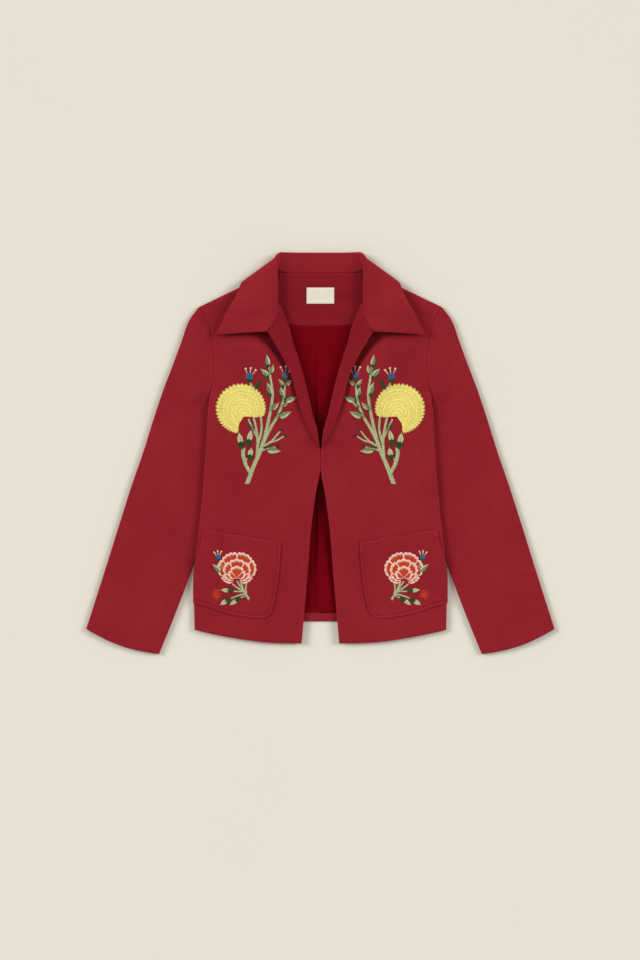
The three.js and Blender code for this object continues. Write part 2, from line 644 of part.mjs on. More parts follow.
function sleeve(side, name) {
  const edgeCurve = (key) => new THREE.SplineCurve(SLEEVE.map((row) => new THREE.Vector2(...row[key])));
  const outer = edgeCurve("outer");
  const inner = edgeCurve("inner");
  const cuffAxis = outer.getTangent(1);
  const mainShares = shares(ARMHOLE_STEPS).slice(1, -1).map((share) => 1 - share).reverse();

  const topHeight = (s, plan) => {
    const full = lerp(SLEEVE_HEIGHT.armhole, SLEEVE_HEIGHT.cuff, s);
    const near = 1 - smoothstep(plan.x - sideX(plan.y), TUCK.near, TUCK.far);
    const along =
      smoothstep(plan.y, TUCK.lowFrom, TUCK.lowTo) * (1 - smoothstep(plan.y, TUCK.highTo, TUCK.highFrom));
    return lerp(full, SLEEVE_HEIGHT.tucked, near * along);
  };
  // Away from the sleeve at an edge: along the armhole at its start, then square to it.
  const awayFrom = (curve, s, sign, start) => {
    const tangent = curve.getTangent(Math.max(s, 0.02));
    const square = new THREE.Vector2(-tangent.y, tangent.x).multiplyScalar(sign);
    return start.clone().lerp(square, smoothstep(s, 0, 0.14)).normalize();
  };
  const armholeTop = armhole.getTangentAt(1);
  const armholeFoot = armhole.getTangentAt(0).negate();

  const section = (s, depth) => {
    const points = [];
    const put = (plan, tilt, over, height) => {
      const z = height / 2 + over * (height / 2 - depth) * Math.sin(tilt);
      points.push(new THREE.Vector3(plan.x + ARMHOLE_EASE, plan.y, z));
    };
    const edge = (point, away, tilts, over) => {
      const height = topHeight(s, point);
      for (const tilt of tilts.map(degToRad)) {
        const inset = (1 - Math.cos(tilt)) * (height / 2) + depth * Math.cos(tilt);
        put(point.clone().addScaledVector(away, -inset), tilt, over, height);
      }
    };
    const across = (list, over) => {
      for (const w of list) {
        const plan = outer.getPoint(s).lerp(inner.getPoint(s), w);
        const seam = armhole.getPointAt(1 - w).sub(SHOULDER_POINT.clone().lerp(UNDERARM, w));
        plan.addScaledVector(seam, (1 - s) ** HEAD_FADE);
        plan.addScaledVector(cuffAxis, CUFF_BOW * Math.sin(Math.PI * w) * s ** CUFF_FADE);
        put(plan, LEVEL, over, topHeight(s, plan));
      }
    };
    const outerAway = awayFrom(outer, s, 1, armholeTop);
    const innerAway = awayFrom(inner, s, -1, armholeFoot);
    edge(outer.getPoint(s), outerAway, [0, 30, 60, 90], 1);
    across(mainShares, 1);
    edge(inner.getPoint(s), innerAway, [90, 60, 30, 0], 1);
    edge(inner.getPoint(s), innerAway, [30, 60, 90], -1);
    across([...mainShares].reverse(), -1);
    edge(outer.getPoint(s), outerAway, [90, 60, 30], -1);
    return points;
  };
  const make = (depth) => shares(SLEEVE_SECTIONS).map((s) => section(s, depth));
  const turned = (grid) => sided(grid, side).map((row) => row.reverse());
  return wall(name, turned(make(0)), turned(make(SLEEVE_CLOTH)), CLOTH_RED, true);
}

// ---------------------------------------------------------------- collar
function collar() {
  const guide = (key) =>
    new THREE.CatmullRomCurve3(COLLAR.map((row) => new THREE.Vector3(...row[key])), false, "centripetal");
  const [seam, top, turn, edge] = ["seam", "top", "turn", "edge"].map(guide);
  const foldCurve = new THREE.SplineCurve(COLLAR.map((row, i) => new THREE.Vector2(i, row.fold)));
  const section = (s) => {
    const [a, b, c, d] = [seam, top, turn, edge].map((curve) => curve.getPoint(s));
    const centre = b.clone().lerp(c, 0.5);
    const radius = b.distanceTo(c) / 2;
    const start = b.clone().sub(centre).normalize();
    const along = top.getTangent(s).add(turn.getTangent(s));
    const over = start.clone().cross(along).normalize();
    const roundness = foldCurve.getPoint(s).y;
    const foldPoints = shares(COLLAR_FOLD_STEPS).map((share) => {
      const angle = Math.PI * share;
      return centre
        .clone()
        .addScaledVector(start, radius * Math.cos(angle))
        .addScaledVector(over, radius * roundness * Math.sin(angle));
    });
    return [
      ...STAND_SHARES.map((share) => a.clone().lerp(b, share)),
      ...foldPoints,
      ...LEAF_SHARES.map((share) => c.clone().lerp(d, share)),
    ];
  };
  const half = shares(COLLAR_HALF_SECTIONS).map(section);
  const mirrored = half.slice(1).map((row) => row.map((p) => new THREE.Vector3(-p.x, p.y, p.z)));
  const middle = [...mirrored.reverse(), ...half];
  const lastRow = middle.length - 1;
  const face = (distance) =>
    middle.map((row, r) =>
      row.map((p, c) => {
        const along = middle[Math.min(r + 1, lastRow)][c].clone().sub(middle[Math.max(r - 1, 0)][c]);
        const across = row[Math.min(c + 1, row.length - 1)].clone().sub(row[Math.max(c - 1, 0)]);
        const point = p.clone().addScaledVector(across.cross(along).normalize(), distance);
        return point.setZ(Math.max(point.z, 0)); // it rests on the surface
      }),
    );
  return wall("collar", face(COLLAR_CLOTH / 2), face(-COLLAR_CLOTH / 2), CLOTH_RED);
}

// ---------------------------------------------------------------- the jacket
const jacket = new THREE.Group();
jacket.add(back(), backLining(), backFacing(), label());
for (const [side, word] of [[1, "left"], [-1, "right"]]) {
  jacket.add(front(side, `front_${word}`));
  jacket.add(frontFacing(side, `facing_${word}`));
  jacket.add(pocket(side, `pocket_${word}`));
  jacket.add(sleeve(side, `sleeve_${word}`));
}
jacket.add(collar());

export default jacket;
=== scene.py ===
"""A western jacket laid flat: cloth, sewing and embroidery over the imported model.

Lengths are millimetres until a mesh is made. +X is the wearer's left, +Y runs from hem
to neck and +Z is up from the surface. Half of the jacket is worked out on +X. The
floor, the camera and what the shaders measure are in metres.
"""

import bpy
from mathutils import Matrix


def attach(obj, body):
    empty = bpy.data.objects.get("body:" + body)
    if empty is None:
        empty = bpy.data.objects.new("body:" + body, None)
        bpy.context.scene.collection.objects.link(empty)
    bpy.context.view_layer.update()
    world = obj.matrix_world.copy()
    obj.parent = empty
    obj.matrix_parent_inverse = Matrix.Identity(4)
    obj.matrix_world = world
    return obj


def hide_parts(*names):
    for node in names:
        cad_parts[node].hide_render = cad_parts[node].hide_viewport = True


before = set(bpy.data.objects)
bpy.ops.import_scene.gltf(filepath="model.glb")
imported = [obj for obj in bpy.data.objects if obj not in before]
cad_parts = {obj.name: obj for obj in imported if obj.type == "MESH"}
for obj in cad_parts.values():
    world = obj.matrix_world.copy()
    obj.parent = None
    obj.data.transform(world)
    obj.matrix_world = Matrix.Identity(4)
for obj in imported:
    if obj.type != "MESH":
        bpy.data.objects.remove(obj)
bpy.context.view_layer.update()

import math
import random

import bpy
import numpy as np
from mathutils import Vector, kdtree

MM = 0.001
GRID_STEP = 3.6  # how far apart a cloth's points are

# ---------------------------------------------------------------- cloth, as in the solids
BACK_CLOTH = 1.4
FRONT_CLOTH = 1.6
FACING_CLOTH = 1.2
LINING_CLOTH = 1.0
SLEEVE_CLOTH = 1.4
POCKET_CLOTH = 1.4
COLLAR_CLOTH = 2.2
LABEL_CLOTH = 1.0
SEAM_GAP = 0.3
EDGE_RADIUS = 2.4
BACK_MID = BACK_CLOTH / 2
FRONT_MID = BACK_MID + 2 * EDGE_RADIUS + SEAM_GAP
ARMHOLE_HEIGHT, CUFF_HEIGHT, TUCKED_HEIGHT = 6.6, 6.2, 3.3
SLEEVE_LIFT = 3.9
COLLAR_LIFT = 3.0
LIFTED_BAND = 26
LEVEL_BAND = 66
LOWER_SLOPE = (-245, -195)
UPPER_SLOPE = (107, 80)

# Outlines, half of each: x, y.
SIDE_SEAM = [(220.0, -309), (221.0, -256), (219.5, -200), (207.5, -89), (200.5, 5), (197.5, 60), (194.0, 107)]
ARMHOLE = [
    (194.0, 107), (188.0, 123), (186.4, 146), (187.0, 172),
    (189.5, 196), (193.5, 217), (201.0, 235), (211.6, 255.5),
]
NECK_POINT = (81, 318.5)
FRONT_EDGE = [(32.9, -333), (28.7, -284), (21.7, -200), (16.1, -131), (7.7, -69), (0.8, -33), (0.5, 2)]
FOLD_LINE = [
    (0.5, 2), (4.9, 38.5), (13.3, 68.6), (27.3, 127.8),
    (38.5, 166), (48.0, 194), (55.0, 222), (70.7, 261),
]
LAPEL_EDGE = [
    (1.5, 3), (16.5, 35), (30.5, 66.5), (41.3, 99.8),
    (50.2, 133), (61.2, 158), (74.6, 183), (91.8, 210.2),
]
GORGE = [(70.7, 261), (71.4, 250), (74.4, 238.3), (82.4, 224.6), (91.8, 210.2)]
FRONT_NECKLINE = [(75.8, 262), (80.0, 285), (80.9, 302), (81.0, 318.5)]
FRONT_HEM = [(221.5, -309), (183.6, -317.6), (127.8, -327.3), (85.9, -331.6), (32.0, -333)]
POCKET_MOUTH = [(215.0, -132.1), (140.0, -144.5), (68.0, -156)]
POCKET_BOTTOM = [
    (223.0, -262), (197.4, -268.8), (169.6, -278.6), (141.8, -285),
    (113.8, -288.8), (97.5, -288.4), (85.0, -279),
]
POCKET_INNER = [(86.0, -279), (80.6, -262), (74.7, -228.4), (70.7, -195), (68.8, -156)]
BACK_HEM_RISE = 15.3
BACK_HEM_TURN = 14.4
BACK_NECK_Y, BACK_NECK_HALF = 315, 62
BACK_FACING_MIDDLE, BACK_FACING_SIDE = 221.4, 229
BACK_FACING_LOWER_HALF, BACK_FACING_UPPER_HALF = 88, 74
LINING_INSET = 18
PLEAT_EDGE, PLEAT_WIDTH, PLEAT_HEIGHT, PLEAT_STEP = -5, 29, 2.2, 1.8
LABEL_WIDTH, LABEL_DEPTH, LABEL_Y = 48, 28, 275
CHEST_RISE = 14

# The sleeve's two long edges from armhole to cuff: outer x, y and inner x, y.
SLEEVE_OUTER = [
    (211.6, 255.5), (230.0, 231.0), (243.0, 195.0), (258.0, 154.0), (274.0, 112.0), (291.5, 60.0),
    (309.0, 4.0), (331.0, -60.0), (352.0, -126.0), (372.0, -190.0), (391.0, -250.0), (409.5, -308.0),
]
SLEEVE_INNER = [
    (194.0, 107.0), (194.7, 101.0), (195.3, 92.0), (193.9, 77.0), (188.0, 56.0), (182.0, 22.0),
    (179.0, -22.0), (184.0, -76.0), (202.0, -138.0), (226.0, -208.0), (253.0, -280.0), (282.1, -351.7),
]
CUFF_BOW = 8
ARMHOLE_EASE = 0.1
ARMHOLE_REACH = 0.55  # how much nearer the front comes to the sleeve than its cut edge
HEAD_FADE = 9
CUFF_FADE = 6
TUCK_NEAR, TUCK_FAR = 2, 42
TUCK_LOW = (-245, -205)
TUCK_HIGH = (86, 104)

# The collar, half of it, from the centre back to the front end: x, y, z of each line.
COLLAR_SEAM = [
    (0, 314.8, 4.9), (40, 314.8, 4.9), (61, 315.4, 5.1), (72, 318.6, 6.6),
    (76.4, 321.4, 7.9), (79.2, 316.5, 8.7), (79.4, 305, 8.8), (78.2, 286, 8.6),
    (75.6, 265, 9.2), (73.5, 246.5, 10.7), (80.2, 229.6, 10.3), (92.6, 211.2, 9.4),
]
COLLAR_TOP = [
    (0, 346.9, 6.1), (41, 346.9, 6.1), (60, 346.8, 7.4), (67.4, 345.6, 10.4),
    (72.0, 339.4, 12.8), (75.0, 326, 13.2), (75.6, 310, 13.3), (75.0, 287, 12.6),
    (75.2, 265.5, 11.8), (77.4, 246, 11.8), (84.6, 228.6, 11.0), (97.5, 211, 10.0),
]
COLLAR_TURN = [
    (0, 346.9, 1.1), (42, 346.9, 1.1), (62, 346.8, 1.5), (71.4, 345.6, 3.0),
    (77.6, 341.4, 7.4), (80.6, 331.5, 14.6), (79.6, 312, 15.4), (78.8, 288, 14.6),
    (79.6, 264, 13.4), (82.4, 244.6, 12.2), (90, 227.5, 11.2), (103.5, 210.8, 10.2),
]
COLLAR_EDGE = [
    (0, 293, 1.1), (55, 293, 1.1), (102, 295, 1.1), (125, 301.6, 1.6),
    (135.4, 299.4, 5.8), (141.6, 289.8, 12.2), (148.6, 272, 10.4), (163.4, 246, 9.0),
    (173.4, 225, 8.6), (178.8, 215, 8.4), (181.6, 210.0, 8.3), (183.4, 206.4, 8.2),
]
COLLAR_FOLD = [1, 1, 1, 1, 1, 1, 1, 1, 0.9, 0.35, 0.2, 0.1]  # 1 is a half circle

# Where noise and stray stitches start from.
FRONT_SEED, SLEEVE_SEED, COLLAR_SEED = 11, 31, 7
SPRAY_SEED, FLOWER_SEED, POCKET_STITCH_SEED, LABEL_STITCH_SEED = 101, 211, 307, 401


# ---------------------------------------------------------------- curves
def smooth(value, low, high):
    """0 below low and 1 above high, with a soft start and end between them."""
    share = ramp(value, low, high)
    return share * share * (3 - 2 * share)


def ramp(value, low, high):
    """0 below low and 1 above high, evenly between them."""
    return np.clip((value - low) / (high - low), 0, 1)


def mix(a, b, share):
    return a + (b - a) * share


def unit(vectors):
    length = np.linalg.norm(vectors, axis=-1, keepdims=True)
    return vectors / np.maximum(length, 1e-9)


def steps(low, high, spacing=GRID_STEP):
    """Evenly spaced values from low to high, about spacing apart."""
    return np.linspace(low, high, max(1, math.ceil(abs(high - low) / spacing)) + 1)


def span_of(share, spans):
    """Which of a curve's spans a share falls in, and how far along it."""
    place = np.clip(np.asarray(share, float), 0, 1) * spans
    i = np.minimum(place.astype(int), spans - 1)
    return i, (place - i)[..., None]


CURVE_SAMPLES = 1601
HEADING_STEP, GUIDE_STEP = 0.001, 0.0005  # the share to each side that a heading is taken over


class Spline:
    """A uniform Catmull-Rom curve through the rows of a table."""

    def __init__(self, table):
        self.points = np.array(table, float).reshape(len(table), -1)
        self.shares = np.linspace(0, 1, CURVE_SAMPLES)
        self.samples = self.at(self.shares)
        runs = np.linalg.norm(np.diff(self.samples, axis=0), axis=1)
        self.run = np.concatenate([[0], np.cumsum(runs)])
        self.length = self.run[-1]

    def at(self, share):
        last = len(self.points) - 1
        i, w = span_of(share, last)
        p0, p1 = self.points[np.maximum(i - 1, 0)], self.points[i]
        p2, p3 = self.points[i + 1], self.points[np.minimum(i + 2, last)]
        v1, v2 = (p2 - p0) / 2, (p3 - p1) / 2
        return ((2 * p1 - 2 * p2 + v1 + v2) * w + (3 * p2 - 3 * p1 - 2 * v1 - v2)) * w * w + v1 * w + p1

    def along(self, share):
        """The point at a share of the curve's length."""
        return self.at(np.interp(np.asarray(share) * self.length, self.run, self.shares))

    def heading(self, share, by_length=True):
        """Which way the curve runs at a share."""
        place = self.along if by_length else self.at
        share = np.clip(np.asarray(share, float), HEADING_STEP, 1 - HEADING_STEP)
        return unit(place(share + HEADING_STEP) - place(share - HEADING_STEP))

    def where(self, axis, value):
        """The point where a coordinate that only rises or only falls has a value."""
        line = self.samples[:, axis]
        order = 1 if line[-1] > line[0] else -1
        return self.at(np.interp(value, line[::order], self.shares[::order]))


side_seam, armhole, front_edge = Spline(SIDE_SEAM), Spline(ARMHOLE), Spline(FRONT_EDGE)
fold_line, lapel_edge, gorge = Spline(FOLD_LINE), Spline(LAPEL_EDGE), Spline(GORGE)
front_neckline, front_hem = Spline(FRONT_NECKLINE), Spline(FRONT_HEM)
pocket_mouth, pocket_bottom = Spline(POCKET_MOUTH), Spline(POCKET_BOTTOM)
pocket_inner = Spline(POCKET_INNER)
HEM_Y, UNDERARM_Y = SIDE_SEAM[0][1], ARMHOLE[0][1]
SHOULDER = np.array(ARMHOLE[-1])
SHOULDER_SLOPE = (NECK_POINT[1] - SHOULDER[1]) / (SHOULDER[0] - NECK_POINT[0])
SHOULDER_NORMAL = unit(np.array([SHOULDER_SLOPE, 1.0]))

def side_x(y):
    """The body's outer edge: the side seam, and above it the armhole."""
    return np.where(y < UNDERARM_Y, side_seam.where(1, y)[..., 0], armhole.where(1, y)[..., 0])


def past(curve, x, y):
    """How far x is beyond a curve that runs up the jacket."""
    return x - curve.where(1, y)[..., 0]


def shoulder_y(x):
    return SHOULDER[1] + SHOULDER_SLOPE * (SHOULDER[0] - np.abs(x))


NECK_SLOPE = (shoulder_y(SHOULDER[0] - LIFTED_BAND), shoulder_y(SHOULDER[0] - LEVEL_BAND))


def lift(x, y):
    """How far the sleeves and the collar under the body lift it."""
    over_sleeve = ramp(side_x(y) - np.abs(x), LEVEL_BAND, LIFTED_BAND)
    over_sleeve = over_sleeve * ramp(y, *LOWER_SLOPE) * ramp(y, *UPPER_SLOPE)
    return SLEEVE_LIFT * over_sleeve + COLLAR_LIFT * ramp(y, *NECK_SLOPE)


# ---------------------------------------------------------------- creases
# Soft ridges, on the body's right half and its left half apart:
# x, y of the middle, length, breadth, height, the way it runs in degrees.
FRONT_CREASES = {
    1: [
        (150, 30, 190, 26, 1.5, 96), (105, -60, 150, 22, 1.1, 80), (60, -20, 120, 16, 1.3, 62),
        (172, -90, 120, 18, 0.9, 104), (120, 170, 120, 24, 1.2, 70), (160, 205, 70, 16, 0.9, 125),
        (48, -200, 150, 20, 1.2, 98), (110, -308, 90, 14, 0.8, 84), (170, -300, 70, 12, 0.8, 70),
        (130, -215, 110, 26, 0.9, 20), (95, 110, 110, 18, 1.0, 55), (30, -110, 90, 14, 1.0, 105),
    ],
    -1: [
        (140, 50, 170, 24, 1.4, 84), (98, -85, 140, 20, 1.2, 98), (52, 0, 130, 17, 1.2, 66),
        (176, -70, 140, 20, 1.0, 99), (128, 185, 100, 22, 1.0, 64), (150, 120, 80, 15, 0.9, 35),
        (55, -235, 120, 18, 1.1, 86), (90, -312, 80, 13, 0.9, 96), (186, -296, 60, 12, 0.7, 76),
        (150, -200, 90, 24, 0.8, 155), (82, 130, 90, 16, 0.9, 60), (36, -150, 110, 15, 1.1, 95),
    ],
}
# The same on a sleeve: share down it, share across it, length, breadth, height, degrees off its run.
SLEEVE_CREASES = {
    1: [
        (0.10, 0.35, 90, 15, 1.6, 22), (0.20, 0.62, 110, 17, 1.9, -16), (0.31, 0.28, 120, 18, 1.7, 10),
        (0.42, 0.70, 80, 13, 1.6, -48), (0.46, 0.50, 95, 14, 1.5, -34), (0.53, 0.30, 70, 13, 1.3, 30),
        (0.64, 0.58, 130, 20, 1.8, 6), (0.74, 0.30, 100, 16, 1.3, -8), (0.86, 0.66, 90, 18, 1.3, 4),
        (0.90, 0.36, 70, 14, 1.0, -12),
    ],
    -1: [
        (0.08, 0.42, 80, 14, 1.5, 28), (0.18, 0.30, 120, 18, 1.8, 8), (0.27, 0.66, 90, 15, 1.6, -22),
        (0.40, 0.62, 85, 14, 1.8, -42), (0.47, 0.38, 100, 16, 1.5, -26), (0.58, 0.26, 90, 15, 1.4, 16),
        (0.66, 0.66, 120, 19, 1.7, -4), (0.77, 0.44, 110, 18, 1.5, 8), (0.88, 0.28, 80, 15, 1.1, 2),
    ],
}
COLLAR_CREASES = [(118, 262, 70, 14, 0.8, 38), (150, 236, 40, 9, 0.5, 100), (100, 232, 44, 9, 0.6, 62)]
BACK_CREASES = [
    (60, 120, 220, 30, 0.5, 84), (-70, 60, 240, 32, 0.5, 96), (120, -120, 200, 28, 0.45, 102),
    (-130, -160, 180, 30, 0.5, 80), (10, -200, 200, 26, 0.4, 92), (150, 150, 110, 22, 0.4, 60),
]


def bell(value, height, place, breadth):
    """A soft bump about a place, or a dip where its height is below zero."""
    return height * np.exp(-(((value - place) / breadth) ** 2))


CREASE_BEND = 0.0016  # the tall creases curve one way and the low ones the other
TALL_CREASE = 1.1
WAVE_COUNT, WAVE_LENGTHS, WAVE_PHASES = 5, (60, 150), (0, 6.28)


def ridge(x, y, crease):
    """The height of one soft crease: round across, tapering along, bent a little."""
    cx, cy, length, breadth, height, degrees = crease
    angle = math.radians(degrees)
    along = (x - cx) * math.cos(angle) + (y - cy) * math.sin(angle)
    across = (y - cy) * math.cos(angle) - (x - cx) * math.sin(angle)
    across = across + CREASE_BEND * (along**2) * (1 if height > TALL_CREASE else -1)
    return bell(across, height, 0, breadth) * np.exp(-((2 * along / length) ** 4))


def ridges(x, y, creases):
    return sum(ridge(x, y, crease) for crease in creases)


def waves(x, y, seed, height):
    """A slow, uneven rise and fall, never below zero."""
    draw = random.Random(seed)
    total = 0
    for _ in range(WAVE_COUNT):
        reach, angle = draw.uniform(*WAVE_LENGTHS), draw.uniform(0, math.pi)
        phase = draw.uniform(*WAVE_PHASES)
        total = total + np.sin((x * math.cos(angle) + y * math.sin(angle)) * 2 * math.pi / reach + phase)
    return height * (0.5 + total / (2 * WAVE_COUNT))


# A pair is where something starts and is whole, in from a seam or a line, or up the jacket.
SIDE_FADE, SHOULDER_FADE = (4, 34), (6, 40)
BACK_SIDE_FADE, BACK_NECK_FADE = (8, 50), (10, 60)
FRONT_WAVES = 0.9
PRESSED, PRESSED_Y = 0.85, (185, 215)  # the share of the creases that the collar presses flat
CHEST_Y, CHEST_COLLAR_Y, CHEST_END_Y = (20, 150), (178, 214), (214, 250)
CHEST_COLLAR_SHARE = 0.75
CHEST_NEAR, CHEST_FAR, CHEST_SIDE = (-4, 28), (32, 118), (0, 26)
CLOSURE_RISE, EDGE_RISE, CLOSURE_BREADTH = 8.5, 0.8, 55
CLOSURE_LOW_Y, CLOSURE_HIGH_Y, BEAD_END_Y = (-300, -70), (0, 150), (-20, 0)
EDGE_BEAD, EDGE_DIP = (0.6, 3, 3), (-0.5, 10, 3)  # height, place, breadth
STAND_OFF, STAND_OFF_ACROSS, STAND_OFF_Y = 11.5, (4, 46), (0, 165)
NOTCH_RISE, NOTCH_Y = (5.5, 46, 22), (1, 195, 48)  # height, place, breadth
NECK_SETTLE, NECK_SETTLE_Y = 0.45, (245, 290)
LEAF_SETTLE, LEAF_SETTLE_ACROSS = 0.4, (84, 118)


def front_height(x, y, side):
    """How far a front and all that lies on it stand above their level places."""
    inside = side_x(y) - x
    settled = smooth(inside, *SIDE_FADE) * smooth(shoulder_y(x) - y, *SHOULDER_FADE)
    under_collar = 1 - PRESSED * smooth(y, *PRESSED_Y)
    soft = ridges(x, y, FRONT_CREASES[side]) + waves(x, y, FRONT_SEED + side, FRONT_WAVES)
    return settled * under_collar * soft + closure_rise(x, y) + chest_rise(x, y) * smooth(inside, *CHEST_SIDE)


def chest_rise(x, y):
    """The chest rises beside the lapel, so that the lapel's edge lies in a hollow."""
    beyond = past(lapel_edge, x, y)
    under_collar = 1 - CHEST_COLLAR_SHARE * smooth(y, *CHEST_COLLAR_Y)
    along = smooth(y, *CHEST_Y) * under_collar * (1 - smooth(y, *CHEST_END_Y))
    return CHEST_RISE * along * smooth(beyond, *CHEST_NEAR) * (1 - smooth(beyond, *CHEST_FAR))


def closure_rise(x, y):
    """The fronts' edges stand up off the lining, most where they meet at the closure."""
    from_edge = past(front_edge, x, y)
    near = bell(np.maximum(from_edge, 0), 1, 0, CLOSURE_BREADTH)
    bead = bell(from_edge, *EDGE_BEAD) + bell(from_edge, *EDGE_DIP)
    rise = CLOSURE_RISE * smooth(y, *CLOSURE_LOW_Y) + EDGE_RISE
    return rise * (1 - smooth(y, *CLOSURE_HIGH_Y)) * near + bead * (1 - smooth(y, *BEAD_END_Y))


def stand_off(x, y):
    """How far the lapel and the collar's leaf stand off the front, most at the notch."""
    from_fold = past(fold_line, x, y)
    at_notch = bell(from_fold, *NOTCH_RISE) * bell(y, *NOTCH_Y)
    by_height = smooth(y, *STAND_OFF_Y) * (1 - NECK_SETTLE * smooth(y, *NECK_SETTLE_Y))
    far_out = 1 - LEAF_SETTLE * smooth(from_fold, *LEAF_SETTLE_ACROSS)
    return (STAND_OFF * smooth(from_fold, *STAND_OFF_ACROSS) + at_notch) * by_height * far_out


def back_height(x, y):
    settled = smooth(side_x(y) - np.abs(x), *BACK_SIDE_FADE) * smooth(BACK_NECK_Y - y, *BACK_NECK_FADE)
    return settled * ridges(x, y, BACK_CREASES)


# ---------------------------------------------------------------- meshes
materials = {}
MIRROR = np.array([-1, 1, 1])
# A rim's corners go in by a share of the wall, or of the nearest cell; its middle goes out.
RIM_ROUND, RIM_ROOM, RIM_BULGE = 0.26, 0.3, 0.06


def xy(plan):
    return plan[..., 0], plan[..., 1]


def raised(plan, height):
    """The points of a plan, each at its height."""
    return np.concatenate([plan, np.expand_dims(height, -1)], axis=-1)


def add_piece(mesh, name):
    """Puts a mesh in the scene as a piece on the one body."""
    piece = bpy.data.objects.new(name, mesh)
    bpy.context.scene.collection.objects.link(piece)
    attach(piece, "root")
    return piece


def new_mesh(name, points, faces, cloth_places, material_names, face_materials=None):
    """A smooth-shaded mesh in metres; the cloth's own places go with its points."""
    mesh = bpy.data.meshes.new(name)
    mesh.from_pydata((points * MM).tolist(), [], faces)
    mesh.update()
    mesh.shade_smooth()
    places = mesh.attributes.new("cloth", "FLOAT_VECTOR", "POINT")
    places.data.foreach_set("vector", (cloth_places * MM).ravel())
    for material_name in material_names:
        mesh.materials.append(materials[material_name])
    if face_materials is not None:
        mesh.polygons.foreach_set("material_index", face_materials)
    return mesh


def store_edge_distance(mesh, points, rim):
    """Keeps each point's distance from the cloth's edge, for wear at the edge."""
    tree = kdtree.KDTree(len(rim))
    for number, place in enumerate(points[rim]):
        tree.insert(place, number)
    tree.balance()
    distances = [tree.find(place)[2] * MM for place in points]
    mesh.attributes.new("from_edge", "FLOAT", "POINT").data.foreach_set("value", distances)


def cloth_wall(name, outer, inner, places, material="shell", slot="shell", ring=False):
    """A closed wall between two faces of the same rows and columns, with round rims.

    A missing point (nan) leaves its cells open, coinciding points close a cell up, and
    ring joins each row's ends.
    """
    rows, columns = outer.shape[:2]
    pairs = np.concatenate([outer, inner], axis=2).reshape(-1, 6)
    present = ~np.isnan(pairs).any(axis=1)
    numbers = np.full(rows * columns, -1)
    keys, first, inverse = np.unique(
        np.round(pairs[present], 3), axis=0, return_index=True, return_inverse=True
    )
    numbers[present] = inverse.ravel()
    chosen = np.flatnonzero(present)[first]
    top, bottom = pairs[chosen, :3], pairs[chosen, 3:]
    uv = places.reshape(-1, 2)[chosen]
    count = len(keys)
    grid = numbers.reshape(rows, columns)
    if ring:
        grid = np.concatenate([grid, grid[:, :1]], axis=1)
    cells = np.stack([grid[:-1, :-1], grid[:-1, 1:], grid[1:, 1:], grid[1:, :-1]], axis=2).reshape(-1, 4)
    faces = []
    for cell in cells[(cells >= 0).all(axis=1)].tolist():
        face = [p for k, p in enumerate(cell) if p != cell[k - 1]]
        if len(face) > 2 and len(set(face)) == len(face):
            faces.append(face)
    directed = {(face[k - 1], face[k]) for face in faces for k in range(len(face))}
    rim_edges = [(a, b) for a, b in directed if (b, a) not in directed]
    rim = sorted({a for edge in rim_edges for a in edge})
    middle_of = {point: 2 * count + k for k, point in enumerate(rim)}
    normals = unit(top - bottom)
    outward = np.zeros((count, 3))
    shortest = np.full(count, np.inf)
    rim_faces = []
    for a, b in rim_edges:
        away = np.cross(top[b] - top[a], normals[a])
        run = np.linalg.norm(top[b] - top[a])
        for end in (a, b):
            outward[end] += away
            shortest[end] = min(shortest[end], run)
        middle_a, middle_b = middle_of[a], middle_of[b]
        rim_faces += [[b, a, middle_a, middle_b], [middle_b, middle_a, a + count, b + count]]
    thickness = np.linalg.norm(top[rim] - bottom[rim], axis=1, keepdims=True)
    away = unit(outward[rim])
    drawn_in = np.minimum(RIM_ROUND * thickness, RIM_ROOM * shortest[rim][:, None])
    middles = (top[rim] + bottom[rim]) / 2 + away * RIM_BULGE
    for corners in (top, bottom):
        corners[rim] -= away * drawn_in
    under_faces = [[p + count for p in reversed(face)] for face in faces]
    points = np.concatenate([top, bottom, middles])
    cloth_places = raised(np.concatenate([uv, uv, uv[rim]]), np.zeros(len(points)))
    mesh = new_mesh(name, points, faces + rim_faces + under_faces, cloth_places, [material])
    store_edge_distance(mesh, points, rim)
    return add_piece(mesh, name)


def sided(grid, side):
    """Half of the jacket is worked out on +X; this puts it on either side."""
    mirrored = grid * np.array([side] + [1] * (grid.shape[2] - 1))
    return mirrored[:, ::-1] if side > 0 else mirrored


def grid_area(grid):
    """The area of a face of rows and columns, in square metres."""
    across, down = np.diff(grid, axis=1)[:-1], np.diff(grid, axis=0)[:, :-1]
    return float(np.nansum(np.linalg.norm(np.cross(across, down), axis=2))) * MM**2


def lay_cloth(name, outer, inner, flat, rests_on=(), side=None, held="laid", places=None, area=None, **wall):
    """A piece stands for the solid whose name follows "cloth_" in its own. With a side, the
    faces are those of the half on +X. The cloth's places are its plan, unless given.
    """
    middle = (outer + inner) / 2
    places = middle[..., :2] if places is None else places
    area = grid_area(middle) if area is None else area
    if side:
        outer, inner, places = (sided(grid, side) for grid in (outer, inner, places))
    piece = cloth_wall(name, outer, inner, places, **wall)
    if name.startswith("cloth_"):
        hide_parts(name.removeprefix("cloth_"))
    min(area, flat[0] * flat[1])


def panel_point(plan, middle, out, tilt, away, down):
    """Points of a panel that rolls down (1) or up (-1) to a seam."""
    height = middle + lift(*xy(plan)) - down * EDGE_RADIUS * (1 - np.sin(tilt))
    moved = plan + away * np.expand_dims(down * out * np.cos(tilt), -1)
    return raised(moved, height + out * np.sin(tilt))


